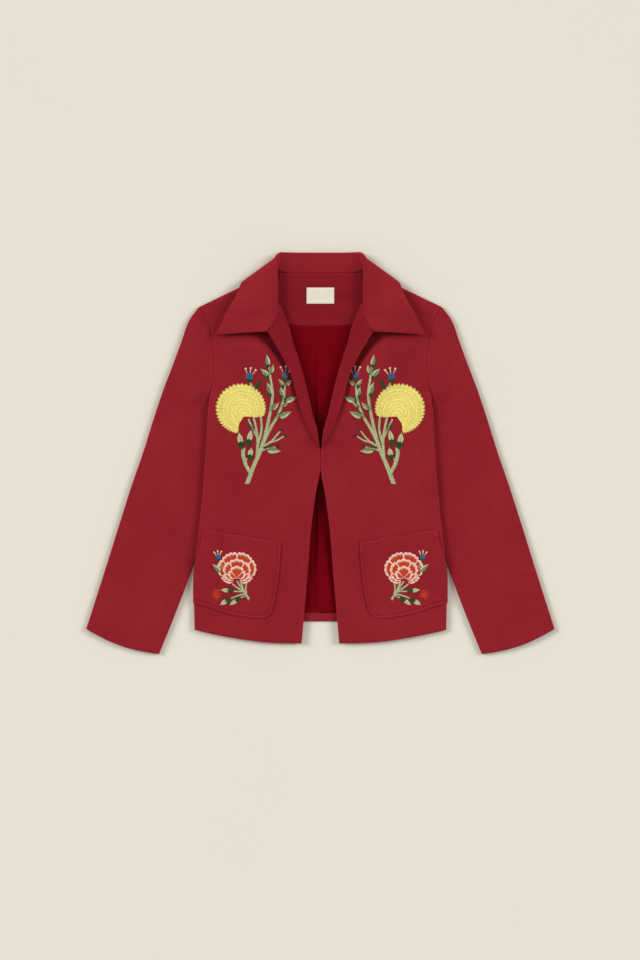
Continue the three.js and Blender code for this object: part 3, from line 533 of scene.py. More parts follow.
# ---------------------------------------------------------------- fronts
SIDE_LEVELS = [-309, -277, -245, -220, -195, -142, -89, -36, 17, 50, 80, 93.5, 107]
EDGE_ROWS = 7
UNDERARM_ROW = 12
LAST_LEVEL_ROW = 19
TURN_FOLD = [0, 0.03, 0.08, 0.16, 0.28, 0.4, 0.52, 0.64, 0.76, 0.88, 1]
TURN_ANGLE = [0, 90, 150, 180, 180, 180, 180, 180, 180, 180, 180]
GORGE_ROW = EDGE_ROWS + len(TURN_FOLD) - 1
FACING_SHARE = 0.6  # the facing starts this share of the way in to the front's edge
EDGE_SHARE, EDGE_STEP = 0.84, 2.0  # from this share on, the points are closer together
FRONT_BREADTH, LAPEL_BREADTH = 110, 90
ROW_RUN, TURN_ROW_RUN, TURN_ROWS = 35.0, 60.0, 3
FOLD_RADIUS = 2.0
FOLD_DEPTH = FRONT_CLOTH / 2 + SEAM_GAP + FACING_CLOTH
LAPEL_LIE = FRONT_CLOTH + 0.7
ROLL_STEPS, TURN_STEPS = 6, 8
DEEP_BY, LEAF_OUT_BY, WHOLE_TURN = (0, 90), (0, 60), (150, 180)  # angles of the lapel's turn
GORGE_BOW_FADE = 6
LEVEL = math.pi / 2  # the tilt of cloth that lies flat
ALMOST_LEVEL = 1.57
ROW_SLACK = 1e-6


def roll(cloth):
    """How far in from the outline each step of a rolled edge is, and its tilt."""
    tilt = np.radians(np.linspace(0, 90, ROLL_STEPS + 1))
    return cloth / 2 + (1 - np.cos(tilt)) * EDGE_RADIUS, tilt


def front_row_numbers():
    """The rows from hem to shoulder, close together where the lapel turns."""
    rows = []
    for row in range(LAST_LEVEL_ROW):
        run = TURN_ROW_RUN if EDGE_ROWS <= row < EDGE_ROWS + TURN_ROWS else ROW_RUN
        count = math.ceil(run / GRID_STEP)
        rows.append(np.arange(count) / count + row)
    return np.concatenate([*rows, [LAST_LEVEL_ROW]])


def front_rows():
    """Each row's ends, turn and roll, as arrays."""
    distance, tilts = roll(FRONT_CLOTH)
    neck_length = front_neckline.length
    top_share = 1 - distance[-1] / armhole.length
    r = front_row_numbers()
    level = np.interp(r, range(UNDERARM_ROW + 1), SIDE_LEVELS)
    upper = ramp(r, UNDERARM_ROW, LAST_LEVEL_ROW)
    on_side_seam = np.stack([side_x(level), level], axis=1)
    outer = np.where((r <= UNDERARM_ROW)[:, None], on_side_seam, armhole.along(upper * top_share))
    fold = np.interp(r - EDGE_ROWS, range(len(TURN_FOLD)), TURN_FOLD)
    turned_by = np.interp(r - EDGE_ROWS, range(len(TURN_FOLD)), TURN_ANGLE)
    heading = fold_line.heading(fold)
    away = np.stack([heading[:, 1], -heading[:, 0]], axis=1)
    depth = (FOLD_DEPTH + FOLD_RADIUS) * ramp(turned_by, *DEEP_BY)
    on_fold = fold_line.along(fold) + away * depth[:, None]
    end = np.where((r < EDGE_ROWS)[:, None], front_edge.along(ramp(r, 0, EDGE_ROWS)), on_fold)
    neck = front_neckline.along(ramp(r, GORGE_ROW, LAST_LEVEL_ROW) * (1 - distance[-1] / neck_length))
    at_gorge = end[np.argmin(abs(r - GORGE_ROW))]
    joined = mix(at_gorge, neck, ramp(r, GORGE_ROW, GORGE_ROW + 1)[:, None])
    end = np.where((r > GORGE_ROW)[:, None], joined, end)
    # the rows that roll over at the shoulder come last
    top_distance, top_tilt = distance[:-1][::-1], tilts[:-1][::-1]
    extra = len(top_tilt)
    rows = {
        "r": (r, np.full(extra, LAST_LEVEL_ROW + 1.0)),
        "outer": (outer, armhole.along(1 - top_distance / armhole.length)),
        "end": (end, front_neckline.along(1 - top_distance / neck_length)),
        "tilt": (np.full(len(r), LEVEL), top_tilt),
        "upper": (upper, np.ones(extra)),
        "rolled": (1 - ramp(r, UNDERARM_ROW, UNDERARM_ROW + 1), np.zeros(extra)),
        "fold": (fold, np.ones(extra)),
        "turned": (turned_by, np.full(extra, 180.0)),
        "away": (away, np.repeat(away[-1:], extra, axis=0)),
    }
    return {key: np.concatenate(parts) for key, parts in rows.items()}


def bend_to_hem(plan, r):
    """The lowest rows follow the hem's curve."""
    x, y = xy(plan)
    share = (1 - ramp(r, 0, 2))[:, None]
    straight = mix(HEM_Y, FRONT_EDGE[0][1], ramp(x, SIDE_SEAM[0][0] - LEVEL_BAND, FRONT_EDGE[0][0]))
    hem = front_hem.where(0, x)[..., 1]
    return np.stack([x, mix(y, hem + y - straight, share)], axis=-1)


def front_face(out, inside, side):
    """A front's points (or its facing's) at a distance out from the middle of its cloth."""
    rows = front_rows()
    r, outer, end = rows["r"], rows["outer"], rows["end"]
    slope = ((end[:, 1] - outer[:, 1]) / (outer[:, 0] - end[:, 0])) * rows["upper"]
    at_shoulder = rows["tilt"] < ALMOST_LEVEL

    def banded(distance):
        x = outer[:, :1] - distance
        return np.stack([x, outer[:, 1:] + slope[:, None] * distance], axis=-1)

    roll_distance, roll_tilt = roll(FRONT_CLOTH)
    band = steps(roll_distance[-1], LEVEL_BAND)[1:]
    shares = np.concatenate([
        steps(0, FACING_SHARE, GRID_STEP / FRONT_BREADTH)[1:],
        steps(FACING_SHARE, EDGE_SHARE, GRID_STEP / FRONT_BREADTH)[1:],
        steps(EDGE_SHARE, 1, EDGE_STEP / FRONT_BREADTH)[1:],
    ])
    if inside:
        shares = np.concatenate([[FACING_SHARE], shares[shares > FACING_SHARE]])
    inner = banded(np.array([LEVEL_BAND]))
    to_end = inner + (end[:, None] - inner) * shares[None, :, None]
    plan = to_end if inside else np.concatenate([banded(roll_distance), banded(band), to_end], axis=1)
    plan = bend_to_hem(plan, r)
    tilt = np.full(plan.shape[:2], LEVEL)
    if not inside:
        plan[:, 0, 0] += ARMHOLE_REACH * (1 - rows["rolled"]) * ~at_shoulder
        tilt[:, : len(roll_tilt)] = mix(LEVEL, roll_tilt[None, :], rows["rolled"][:, None])
    tilt = np.where(at_shoulder[:, None], rows["tilt"][:, None], tilt)
    away = np.where(at_shoulder[:, None, None], SHOULDER_NORMAL, np.array([1.0, 0.0]))
    body = panel_point(plan, FRONT_MID, out, tilt, away, 1)
    body[..., 2] += front_height(*xy(plan), side)
    lapel = lapel_face(rows, out, side)
    lapel[r <= EDGE_ROWS] = body[r <= EDGE_ROWS][:, -1:]
    lapel[r > GORGE_ROW + ROW_SLACK] = np.nan
    return np.concatenate([body, lapel], axis=1)


def lapel_face(rows, out, side):
    """The turn and the lapel: part of a turn near its foot, and a whole one further up."""
    end, away, fold, turned_by = rows["end"], rows["away"], rows["fold"], rows["turned"]
    base = FRONT_MID + lift(*xy(end)) + front_height(*xy(end), side)
    radius = FOLD_RADIUS - out
    angle = np.radians(turned_by)[:, None] * np.linspace(0, 1, TURN_STEPS + 1)[None, 1:]
    turn_plan = end[:, None] - away[:, None] * (radius * np.sin(angle))[..., None]
    turn_height = base[:, None] + FOLD_RADIUS - radius * np.cos(angle)
    edge = lapel_edge.along(fold)
    share = steps(0, 1, GRID_STEP / LAPEL_BREADTH)[1:]
    reach = np.linalg.norm(edge - end, axis=1) * ramp(turned_by, *LEAF_OUT_BY)
    unturned = np.radians(180 - turned_by)
    run = reach[:, None] * share
    along = away[:, None] * (run * np.cos(unturned)[:, None])[..., None]
    part = raised(turn_plan[:, -1:] + along, turn_height[:, -1:] + run * np.sin(unturned)[:, None])
    bow = gorge.along(share) - mix(np.array(GORGE[0]), np.array(GORGE[-1]), share[:, None])
    plan = end[:, None] + (edge - end)[:, None] * share[None, :, None]
    plan = plan + bow[None] * (fold**GORGE_BOW_FADE)[:, None, None]
    lie = mix(2 * FOLD_RADIUS, LAPEL_LIE, smooth(share, 0, 1))
    wave = front_height(*xy(plan), side) - front_height(*xy(end[:, None]), side)
    whole = raised(plan, base[:, None] + lie - out + wave * share + stand_off(*xy(plan)))
    leaf = mix(part, whole, ramp(turned_by, *WHOLE_TURN)[:, None, None])
    return np.concatenate([raised(turn_plan, turn_height), leaf], axis=1)


def make_front(side, word):
    outer, inner = (front_face(out, False, side) for out in (FRONT_CLOTH / 2, -FRONT_CLOTH / 2))
    lay_cloth(f"cloth_front_{word}", outer, inner, (0.300, 0.660), ["cloth_back_lining"], side)


def make_facing(side, word):
    near = -FRONT_CLOTH / 2 - SEAM_GAP
    keep = front_rows()["r"] <= GORGE_ROW + ROW_SLACK
    outer, inner = (front_face(out, True, side)[keep] for out in (near, near - FACING_CLOTH))
    # The facing gets the darker copy of the shell cloth: painted shade, not a different cloth.
    lay_cloth(
        f"cloth_facing_{word}", outer, inner, (0.170, 0.620), [f"cloth_front_{word}"], side,
        material="shell_painted_shade")


# ---------------------------------------------------------------- pockets
POCKET_STEP, POCKET_FINE_STEP = 2.4, 0.9
POCKET_BREADTH, POCKET_DEPTH = 75, 130
POCKET_FINE_FROM = 0.86  # from this share across it, its points are closer together
POCKET_FINE_TO = 0.09  # and so they are up to this share up it
POCKET_OUTER_Y, POCKET_INNER_Y = (-262, -133), (-279, -156)
POCKET_SET_IN = 6.5  # the mouth's outer corner is this far in from the side seam
SET_IN_FROM, GAPE_FROM, MOUTH_FROM = (0.42, 0.97), (0.8, 1), (0.7, 1)  # shares up the pocket
POCKET_GAPE, GAPE_ACROSS, GAPE_ROUND = 1.7, (0.06, 0.97), 0.7
MOUTH_WAVER, MOUTH_WAVER_X, MOUTH_WAVER_LENGTH = 0.9, (70, 90), 9
POCKET_STITCH_INSET = 4.8
# The edge's bead, the cloth inside the stitches and the dip along them: height, place, breadth.
POCKET_RELIEF = [(0.6, 1.8, 1.5), (0.4, 8.5, 2.4), (-0.75, POCKET_STITCH_INSET, 1.5)]


def pocket_plan(side):
    """The pocket's plan, tilt and gape, rows from bottom to mouth."""
    roll_distance, _ = roll(FRONT_CLOTH)
    band = steps(roll_distance[-1], LEVEL_BAND, POCKET_STEP)[1:]
    shares = np.concatenate([
        steps(0, POCKET_FINE_FROM, POCKET_STEP / POCKET_BREADTH)[1:],
        steps(POCKET_FINE_FROM, 1, POCKET_FINE_STEP / POCKET_BREADTH)[1:],
    ])
    v = np.concatenate([
        steps(0, POCKET_FINE_TO, POCKET_FINE_STEP / POCKET_DEPTH)[:-1],
        steps(POCKET_FINE_TO, 1, POCKET_STEP / POCKET_DEPTH),
    ])
    outer_x = side_x(mix(*POCKET_OUTER_Y, v))
    inner_x = pocket_inner.where(1, mix(*POCKET_INNER_Y, v))[:, 0]
    distance = np.concatenate([roll_distance, band])[None]
    set_in = POCKET_SET_IN * smooth(v, *SET_IN_FROM)[:, None]
    distance = distance + set_in * (1 - ramp(distance, 0, LEVEL_BAND))
    level_x = mix(outer_x[:, None] - LEVEL_BAND, inner_x[:, None], shares[None])
    x = np.concatenate([outer_x[:, None] - distance, level_x], axis=1)
    y = mix(pocket_bottom.where(0, x)[..., 1], pocket_mouth.where(0, x)[..., 1], v[:, None])
    rolled = 1 - ramp(distance - FRONT_CLOTH / 2, 0, EDGE_RADIUS)
    tilt = np.full(x.shape, LEVEL)
    tilt[:, : distance.shape[1]] = np.arccos(rolled)
    width = np.linspace(0, 1, x.shape[1])
    gape = np.sin(math.pi * ramp(width, *GAPE_ACROSS)) ** GAPE_ROUND
    waver = 1.0 + 0.6 * np.sin(width * 15 + 1.3 * side) + 0.4 * np.sin(width * 27 + 0.6)
    opening = smooth(v, *GAPE_FROM)[:, None] * (gape * waver * POCKET_GAPE)[None]
    wavering = np.sin(x / MOUTH_WAVER_LENGTH + 0.8 * side)
    y = y + MOUTH_WAVER * smooth(v, *MOUTH_FROM)[:, None] * wavering * ramp(x, *MOUTH_WAVER_X)
    return np.stack([x, y], axis=-1), tilt, opening


def pocket_relief(x, y):
    """The pocket's cloth is drawn down along its line of stitches."""
    inset = np.minimum(past(pocket_inner, x, y), y - pocket_bottom.where(0, x)[..., 1])
    return sum(bell(inset, *form) for form in POCKET_RELIEF)


def make_pocket(side, word):
    under = FRONT_CLOTH / 2 + SEAM_GAP
    plan, tilt, opening = pocket_plan(side)
    relief = pocket_relief(*xy(plan))

    def face(out):
        points = panel_point(plan, FRONT_MID, out + opening, tilt, np.array([1.0, 0.0]), 1)
        points[..., 2] += front_height(*xy(plan), side) + relief * (out > under)
        return points

    outer, inner = face(under + POCKET_CLOTH), face(under)
    lay_cloth(
        f"cloth_pocket_{word}", outer, inner, (0.160, 0.155), [f"cloth_front_{word}"], side,
        places=outer[..., :2])


# ---------------------------------------------------------------- back and what lies on it
BACK_LEVEL_HALF = 100  # out from here the rows bend towards the armhole
BACK_BREADTH = 140
BACK_ARMHOLE_ROWS = 42
BACK_MIDDLE_Y = [UNDERARM_Y, 137, 168, 200, 235, *NECK_SLOPE, BACK_NECK_Y]
BACK_HEM_SHARES, BACK_HEM_ARC = (1, 0.75, 0.5, 0.25, 0), (60, 30, 0, -30, -60)
BACK_FACING_COLUMNS = 50
ON_BACK = BACK_CLOTH / 2 + SEAM_GAP
ON_FACING = ON_BACK + FACING_CLOTH + SEAM_GAP
LINING_BREADTH, LINING_LENGTH, LINING_FOOT_Y = 200, 530, -290
PLEAT_FAR_SLOPE = 14
PLEAT_COLUMNS = (-0.05, 0.02, 0.004)  # from, to and step: the lining's shares that are closer there
# The soft diagonal fold that runs up from the lining's hem.
SOFT_FOLD, SOFT_FOLD_X, SOFT_FOLD_Y, SOFT_FOLD_BREADTH = 0.9, (-8, 24), (-45, -300), 6
SOFT_FOLD_END = (60, 120)  # how far below y = 0 it starts and is whole


def back_columns_of(outer_x):
    roll_distance, roll_tilt = roll(BACK_CLOTH)
    distance = np.concatenate([roll_distance, steps(roll_distance[-1], LEVEL_BAND)[1:]])
    banded = outer_x[:, None] - distance[None]
    shares = steps(0, 1, GRID_STEP / BACK_BREADTH)[1:]
    level = mix(banded[:, -1:], 0.0, shares[None])
    tilt = np.concatenate([roll_tilt, np.full(len(distance) + len(shares) - len(roll_tilt), LEVEL)])
    return np.concatenate([banded, level], axis=1), tilt


def back_face(out):
    """Half of the back, from the turned-up end of its hem to the shoulder's roll."""
    roll_distance, roll_tilt = roll(BACK_CLOTH)
    top_share = 1 - roll(FRONT_CLOTH)[0][-1] / armhole.length
    low_y = steps(HEM_Y, UNDERARM_Y)
    arm = steps(0, 1, 1 / BACK_ARMHOLE_ROWS)[1:-1]
    spans = len(BACK_MIDDLE_Y) - 1
    top = roll_distance[::-1]
    outer = np.concatenate([
        np.stack([side_x(low_y), low_y], axis=1),
        armhole.along(arm * top_share),
        armhole.along(1 - top / armhole.length),
    ])
    middles = np.concatenate([
        low_y, np.interp(arm * spans, range(spans + 1), BACK_MIDDLE_Y), BACK_NECK_Y - top + top[0],
    ])
    below = len(low_y) + len(arm)
    row_tilt = np.concatenate([np.full(below, LEVEL), roll_tilt[::-1]])
    inset = np.concatenate([np.full(below, np.nan), top])
    rolled = np.concatenate([np.ones(len(low_y)), 1 - ramp(arm * spans, 0, 1), np.zeros(len(top))])
    x, column_tilt = back_columns_of(outer[:, 0])
    share = ramp(x, BACK_LEVEL_HALF, outer[:, :1])
    hem_rise = (1 - (x / SIDE_SEAM[0][0]) ** 2) * (1 - ramp(middles, HEM_Y, LOWER_SLOPE[0]))[:, None]
    level_y = mix(middles[:, None], outer[:, 1:], share) + BACK_HEM_RISE * hem_rise
    neck_y = NECK_POINT[1] - inset[:, None]
    on_shoulder = mix(outer[:, 1:], neck_y, ramp(x, outer[:, :1], NECK_POINT[0]))
    beside_neck = mix(middles[:, None], neck_y, ramp(x, BACK_NECK_HALF, NECK_POINT[0]))
    shoulder = np.where(x <= BACK_NECK_HALF, middles[:, None], on_shoulder)
    shoulder = np.where((x > BACK_NECK_HALF) & (x < NECK_POINT[0]), beside_neck, shoulder)
    plan = np.stack([x, np.where(np.isnan(inset)[:, None], level_y, shoulder)], axis=-1)
    at_shoulder = (row_tilt < ALMOST_LEVEL)[:, None] & (x > BACK_NECK_HALF)
    tilt = mix(LEVEL, column_tilt[None], rolled[:, None])
    tilt = np.where(at_shoulder, row_tilt[:, None], tilt)
    away = np.where(at_shoulder[..., None], SHOULDER_NORMAL, np.array([1.0, 0.0]))
    points = panel_point(plan, BACK_MID, out, tilt, away, -1)
    points[..., 2] += back_height(*xy(plan))
    turn_radius = (BACK_CLOTH + SEAM_GAP) / 2
    foot = points[:1].copy()
    foot[..., 1] += np.where(column_tilt[None] < ALMOST_LEVEL, 0.0, turn_radius)
    points[:1] = foot

    def hem_row(along, height):
        row = foot.copy()
        row[..., 1] += along
        row[..., 2] = height + back_height(*xy(plan[:1]))
        row[:, column_tilt < ALMOST_LEVEL] = np.nan
        return row

    inner_height = BACK_MID + 2 * turn_radius - out
    hem = [hem_row(share * (BACK_HEM_TURN - turn_radius), inner_height) for share in BACK_HEM_SHARES]
    radius = turn_radius - out
    for angle in np.radians(BACK_HEM_ARC):
        hem.append(hem_row(-radius * math.cos(angle), BACK_MID + turn_radius + radius * math.sin(angle)))
    return np.concatenate([*hem, points], axis=0)


def mirrored_whole(half):
    """Both halves of a piece from the one on +X, whose last column is the middle."""
    return np.concatenate([half * MIRROR, half[:, :-1][:, ::-1]], axis=1)


def make_back():
    outer, inner = (mirrored_whole(back_face(out)) for out in (BACK_CLOTH / 2, -BACK_CLOTH / 2))
    lay_cloth("cloth_back", outer, inner, (0.460, 0.650))


def facing_lower_y(x):
    return mix(BACK_FACING_MIDDLE, BACK_FACING_SIDE, ramp(np.abs(x), 0, BACK_FACING_LOWER_HALF) ** 2)


def lay_inside(name, x, y, fold, low, cloth, flat, rests_on, **wall):
    """Makes a piece that lies inside the back, its lower face this far above the back's middle."""
    base = BACK_MID + lift(x, y) + back_height(x, y) + fold
    outer, inner = (np.stack([x, y, base + height], axis=-1) for height in (low + cloth, low))
    lay_cloth(name, outer, inner, flat, [rests_on], **wall)


def make_back_facing():
    top = BACK_NECK_Y - SEAM_GAP
    level = steps(BACK_FACING_MIDDLE, top)
    half = mix(BACK_FACING_LOWER_HALF, BACK_FACING_UPPER_HALF, ramp(level, BACK_FACING_MIDDLE, top))
    x = half[:, None] * np.linspace(-1, 1, BACK_FACING_COLUMNS)[None]
    y = mix(facing_lower_y(x), top, ((level - BACK_FACING_MIDDLE) / (top - BACK_FACING_MIDDLE))[:, None])
    # The back facing gets the darker copy of the shell cloth: painted shade of its recess between the
    # collar's rolls.
    lay_inside(
        "cloth_back_facing", x, y, 0, ON_BACK, FACING_CLOTH, (0.176, 0.094), "cloth_back",
        material="shell_painted_shade")


def make_back_lining():
    v = steps(0, 1, GRID_STEP / LINING_LENGTH)
    u = np.unique(np.concatenate([steps(-1, 1, GRID_STEP / LINING_BREADTH), steps(*PLEAT_COLUMNS)]))
    half = side_x(mix(LINING_FOOT_Y, BACK_FACING_MIDDLE, v)) - LINING_INSET
    x = u[None] * half[:, None]
    hem = HEM_Y + BACK_HEM_RISE * (1 - (x / SIDE_SEAM[0][0]) ** 2) + BACK_HEM_TURN + SEAM_GAP
    y = mix(hem, facing_lower_y(x) - SEAM_GAP, v[:, None])
    pleat_end = PLEAT_EDGE + PLEAT_WIDTH
    pleat = ramp(x, PLEAT_EDGE - PLEAT_STEP, PLEAT_EDGE) * ramp(x, pleat_end, pleat_end - PLEAT_FAR_SLOPE)
    line = mix(*SOFT_FOLD_X, ramp(y, *SOFT_FOLD_Y))
    soft = bell(x, SOFT_FOLD, line, SOFT_FOLD_BREADTH) * smooth(-y, *SOFT_FOLD_END)
    lay_inside(
        "cloth_back_lining", x, y, PLEAT_HEIGHT * pleat + soft, ON_BACK, LINING_CLOTH, (0.420, 0.540),
        "cloth_back", material="lining", slot="lining")


LABEL_STEP = 1.5
LABEL_PUFF, LABEL_PUFF_EDGE = 0.35, (1.2, 5)


def make_label():
    half_x, half_y = LABEL_WIDTH / 2, LABEL_DEPTH / 2
    columns = steps(-half_x, half_x, LABEL_STEP)
    x, y = np.meshgrid(columns, steps(LABEL_Y - half_y, LABEL_Y + half_y, LABEL_STEP))
    edge = np.minimum(half_x - abs(x), half_y - abs(y - LABEL_Y))
    puff = LABEL_PUFF * smooth(edge, *LABEL_PUFF_EDGE) * (1 + 0.4 * np.sin(x / 5))
    lay_inside(
        "cloth_label", x, y, puff, ON_FACING, LABEL_CLOTH, (0.048, 0.028), "cloth_back_facing",
        material="label", slot="label")


# ---------------------------------------------------------------- sleeves
SLEEVE_ROWS, SLEEVE_COLUMNS = 118, 40
SLEEVE_BREADTH, SLEEVE_LENGTH = 150.0, 470.0
SLEEVE_END_FADE, SLEEVE_CUFF_FADE, SLEEVE_EDGE_FADE = (0.0, 0.05), (0.0, 0.04), (0.0, 0.16)
SLEEVE_HEAD_SHARE, SLEEVE_HEAD_BLEND = 0.02, (0, 0.14)
SLEEVE_ARC = [0, 15, 30, 45, 60, 75, 90]  # the tilts round a pressed edge, in degrees


def sleeve_top_height(s, plan):
    full = mix(ARMHOLE_HEIGHT, CUFF_HEIGHT, s)
    near = 1 - smooth(plan[..., 0] - side_x(plan[..., 1]), TUCK_NEAR, TUCK_FAR)
    along = smooth(plan[..., 1], *TUCK_LOW) * (1 - smooth(plan[..., 1], *TUCK_HIGH))
    return mix(full, TUCKED_HEIGHT, near * along), near * along


def sleeve_crease_height(s, w, side):
    """Creases over a sleeve, by the share down it and the share across it."""
    down, across = s * SLEEVE_LENGTH, w * SLEEVE_BREADTH
    creases = [(s0 * SLEEVE_LENGTH, w0 * SLEEVE_BREADTH, *rest) for s0, w0, *rest in SLEEVE_CREASES[side]]
    ends = smooth(s, *SLEEVE_END_FADE) * smooth(1 - s, *SLEEVE_CUFF_FADE)
    edges = smooth(w, *SLEEVE_EDGE_FADE) * smooth(1 - w, *SLEEVE_EDGE_FADE)
    return ends * edges * (ridges(down, across, creases) + waves(down, across, SLEEVE_SEED + side, 1.0))


def sleeve_rings(depth, side):
    """Rings round a sleeve from armhole to cuff, this deep inside its outer face."""
    outer, inner = Spline(SLEEVE_OUTER), Spline(SLEEVE_INNER)
    s = steps(0, 1, 1 / SLEEVE_ROWS)[:, None]
    cuff_axis = outer.heading(1.0, by_length=False)
    main = np.linspace(0, 1, SLEEVE_COLUMNS)[1:-1]

    def away_from(curve, sign, start):
        tangent = curve.heading(np.maximum(s[:, 0], SLEEVE_HEAD_SHARE), by_length=False)
        square = np.stack([-tangent[:, 1], tangent[:, 0]], axis=1) * sign
        return unit(mix(start, square, smooth(s, *SLEEVE_HEAD_BLEND)))

    def put(plan, tilt, over, height, w, tuck):
        z = height / 2 + over * (height / 2 - depth) * np.sin(tilt)
        if over > 0:
            z = z + sleeve_crease_height(s, w, side) * (1 - tuck) * np.sin(tilt)
        return np.stack(np.broadcast_arrays(plan[..., 0] + ARMHOLE_EASE, plan[..., 1], z), axis=-1)

    def edge(curve, away, degrees, over, w):
        point = curve.at(s[:, 0])
        height, tuck = sleeve_top_height(s[:, 0], point)
        tilt = np.radians(np.array(degrees, float))[None]
        inset = (1 - np.cos(tilt)) * (height[:, None] / 2) + depth * np.cos(tilt)
        plan = point[:, None] - away[:, None] * inset[..., None]
        return put(plan, tilt, over, height[:, None], np.full(tilt.shape, w), tuck[:, None])

    def across(shares, over):
        w = shares[None]
        a, b = outer.at(s[:, 0])[:, None], inner.at(s[:, 0])[:, None]
        seam = armhole.along(1 - w) - mix(SHOULDER, np.array(ARMHOLE[0]), w[..., None])
        plan = mix(a, b, w[..., None]) + seam * ((1 - s) ** HEAD_FADE)[..., None]
        plan = plan + cuff_axis * (CUFF_BOW * np.sin(math.pi * w) * s**CUFF_FADE)[..., None]
        height, tuck = sleeve_top_height(s, plan)
        return put(plan, np.full(w.shape, LEVEL), over, height, w, tuck)

    outer_away = away_from(outer, 1, armhole.heading(1.0))
    inner_away = away_from(inner, -1, -armhole.heading(0.0))
    return np.concatenate([
        edge(outer, outer_away, SLEEVE_ARC, 1, 0.0),
        across(main, 1),
        edge(inner, inner_away, SLEEVE_ARC[::-1], 1, 1.0),
        edge(inner, inner_away, SLEEVE_ARC[1:], -1, 1.0),
        across(main[::-1], -1),
        edge(outer, outer_away, SLEEVE_ARC[:0:-1], -1, 0.0),
    ], axis=1)


def run_along(grid, axis):
    """The distance run along a grid's rows or columns, from its first point."""
    runs = np.linalg.norm(np.diff(grid, axis=axis), axis=2)
    start = np.zeros_like(runs[:1] if axis == 0 else runs[:, :1])
    return np.concatenate([start, np.cumsum(runs, axis=axis)], axis=axis)


def make_sleeve(side, word):
    outer, inner = sleeve_rings(0, side), sleeve_rings(SLEEVE_CLOTH, side)
    places = np.stack([run_along(outer, 1), run_along(outer, 0)], axis=-1)
    if side < 0:
        outer, inner = ((grid * MIRROR)[:, ::-1] for grid in (outer, inner))
        places = places[:, ::-1]
    area = grid_area(np.concatenate([outer, outer[:, :1]], axis=1))
    lay_cloth(f"cloth_sleeve_{word}", outer, inner, (0.360, 0.480), places=places, area=area, ring=True)


# ---------------------------------------------------------------- collar
COLLAR_ROWS, STAND_COLUMNS, FOLD_COLUMNS, LEAF_COLUMNS = 97, 8, 13, 26
COLLAR_WAVES = 0.7
OVER_FRONT = (0.45, 0.62)  # the shares of the collar's half, from the centre back, where it meets the front
LEAF_CREASE_START = (0, 0.3)
OPENED, OPENED_ROUNDS, OPENED_SHARE = (0.70, 0.86), 60, 0.9
NECK_SIDE, NECK_SIDE_ROUNDS = (0.38, 0.5), 26
NECK_SIDE_COLUMN, NECK_SIDE_REACH = 22, 7


class Guide:
    """A centripetal Catmull-Rom curve through points of space."""

    def __init__(self, table):
        points = np.array(table, float)
        first = 2 * points[0] - points[1]
        last = 2 * points[-1] - points[-2]
        self.points = np.concatenate([[first], points, [last]])

    def at(self, share):
        i, w = span_of(share, len(self.points) - 3)
        x0, x1, x2, x3 = (self.points[i + k] for k in range(4))
        d0, d1, d2 = (
            np.sqrt(np.linalg.norm(b - a, axis=-1, keepdims=True)) for a, b in ((x0, x1), (x1, x2), (x2, x3))
        )
        t1 = ((x1 - x0) / d0 - (x2 - x0) / (d0 + d1) + (x2 - x1) / d1) * d1
        t2 = ((x2 - x1) / d1 - (x3 - x1) / (d1 + d2) + (x3 - x2) / d2) * d1
        return x1 + t1 * w + (3 * x2 - 3 * x1 - 2 * t1 - t2) * w**2 + (2 * x1 - 2 * x2 + t1 + t2) * w**3

    def heading(self, share):
        share = np.clip(np.asarray(share, float), GUIDE_STEP, 1 - GUIDE_STEP)
        return unit(self.at(share + GUIDE_STEP) - self.at(share - GUIDE_STEP))


def eased(grid, share, rounds):
    """Draws each point of a row towards the middle of its two neighbours, over and over."""
    for _ in range(rounds):
        between = grid.copy()
        between[:, 1:-1] = (grid[:, :-2] + grid[:, 2:]) / 2
        grid = mix(grid, between, share)
    return grid


def collar_middle():
    """The middle of the collar's cloth, from seam to edge, along the whole neck."""
    seam, top, turn, edge = (Guide(t) for t in (COLLAR_SEAM, COLLAR_TOP, COLLAR_TURN, COLLAR_EDGE))
    s = np.linspace(0, 1, COLLAR_ROWS)
    a, b, c, d = (guide.at(s)[:, None] for guide in (seam, top, turn, edge))
    centre = (b + c) / 2
    radius = np.linalg.norm(b - c, axis=2, keepdims=True) / 2
    start = unit(b - centre)
    over = unit(np.cross(start, (top.heading(s) + turn.heading(s))[:, None]))
    roundness = Spline([(fold,) for fold in COLLAR_FOLD]).at(s)[:, None]
    angle = (math.pi * np.linspace(0, 1, FOLD_COLUMNS))[None, :, None]
    fold = centre + start * radius * np.cos(angle) + over * radius * roundness * np.sin(angle)
    stand = mix(a, b, np.linspace(0, 1, STAND_COLUMNS + 1)[None, :-1, None])
    leaf_share = np.linspace(0, 1, LEAF_COLUMNS + 1)[None, 1:, None]
    leaf = mix(c, d, leaf_share)
    # soft creases and a slight wave on the leaf, where it lies on the fronts
    over_front = smooth(s, *OVER_FRONT)[:, None]
    soft = ridges(*xy(leaf), COLLAR_CREASES) + waves(*xy(leaf), COLLAR_SEED, COLLAR_WAVES)
    leaf[..., 2] += soft * over_front * smooth(leaf_share[..., 0], *LEAF_CREASE_START)
    half = np.concatenate([stand, fold, leaf], axis=1)
    half[..., 2] += stand_off(*xy(half)) * over_front
    # towards the front end the fold opens out and runs smoothly into the lapel
    half = eased(half, OPENED_SHARE * smooth(s, *OPENED)[:, None, None], OPENED_ROUNDS)
    # at the side of the neck the roll runs out into the leaf without a crease
    beside = bell(np.arange(half.shape[1]), 1, NECK_SIDE_COLUMN, NECK_SIDE_REACH)[None]
    half = eased(half, (smooth(s, *NECK_SIDE)[:, None] * beside)[..., None], NECK_SIDE_ROUNDS)
    return np.concatenate([(half[1:] * MIRROR)[::-1], half])


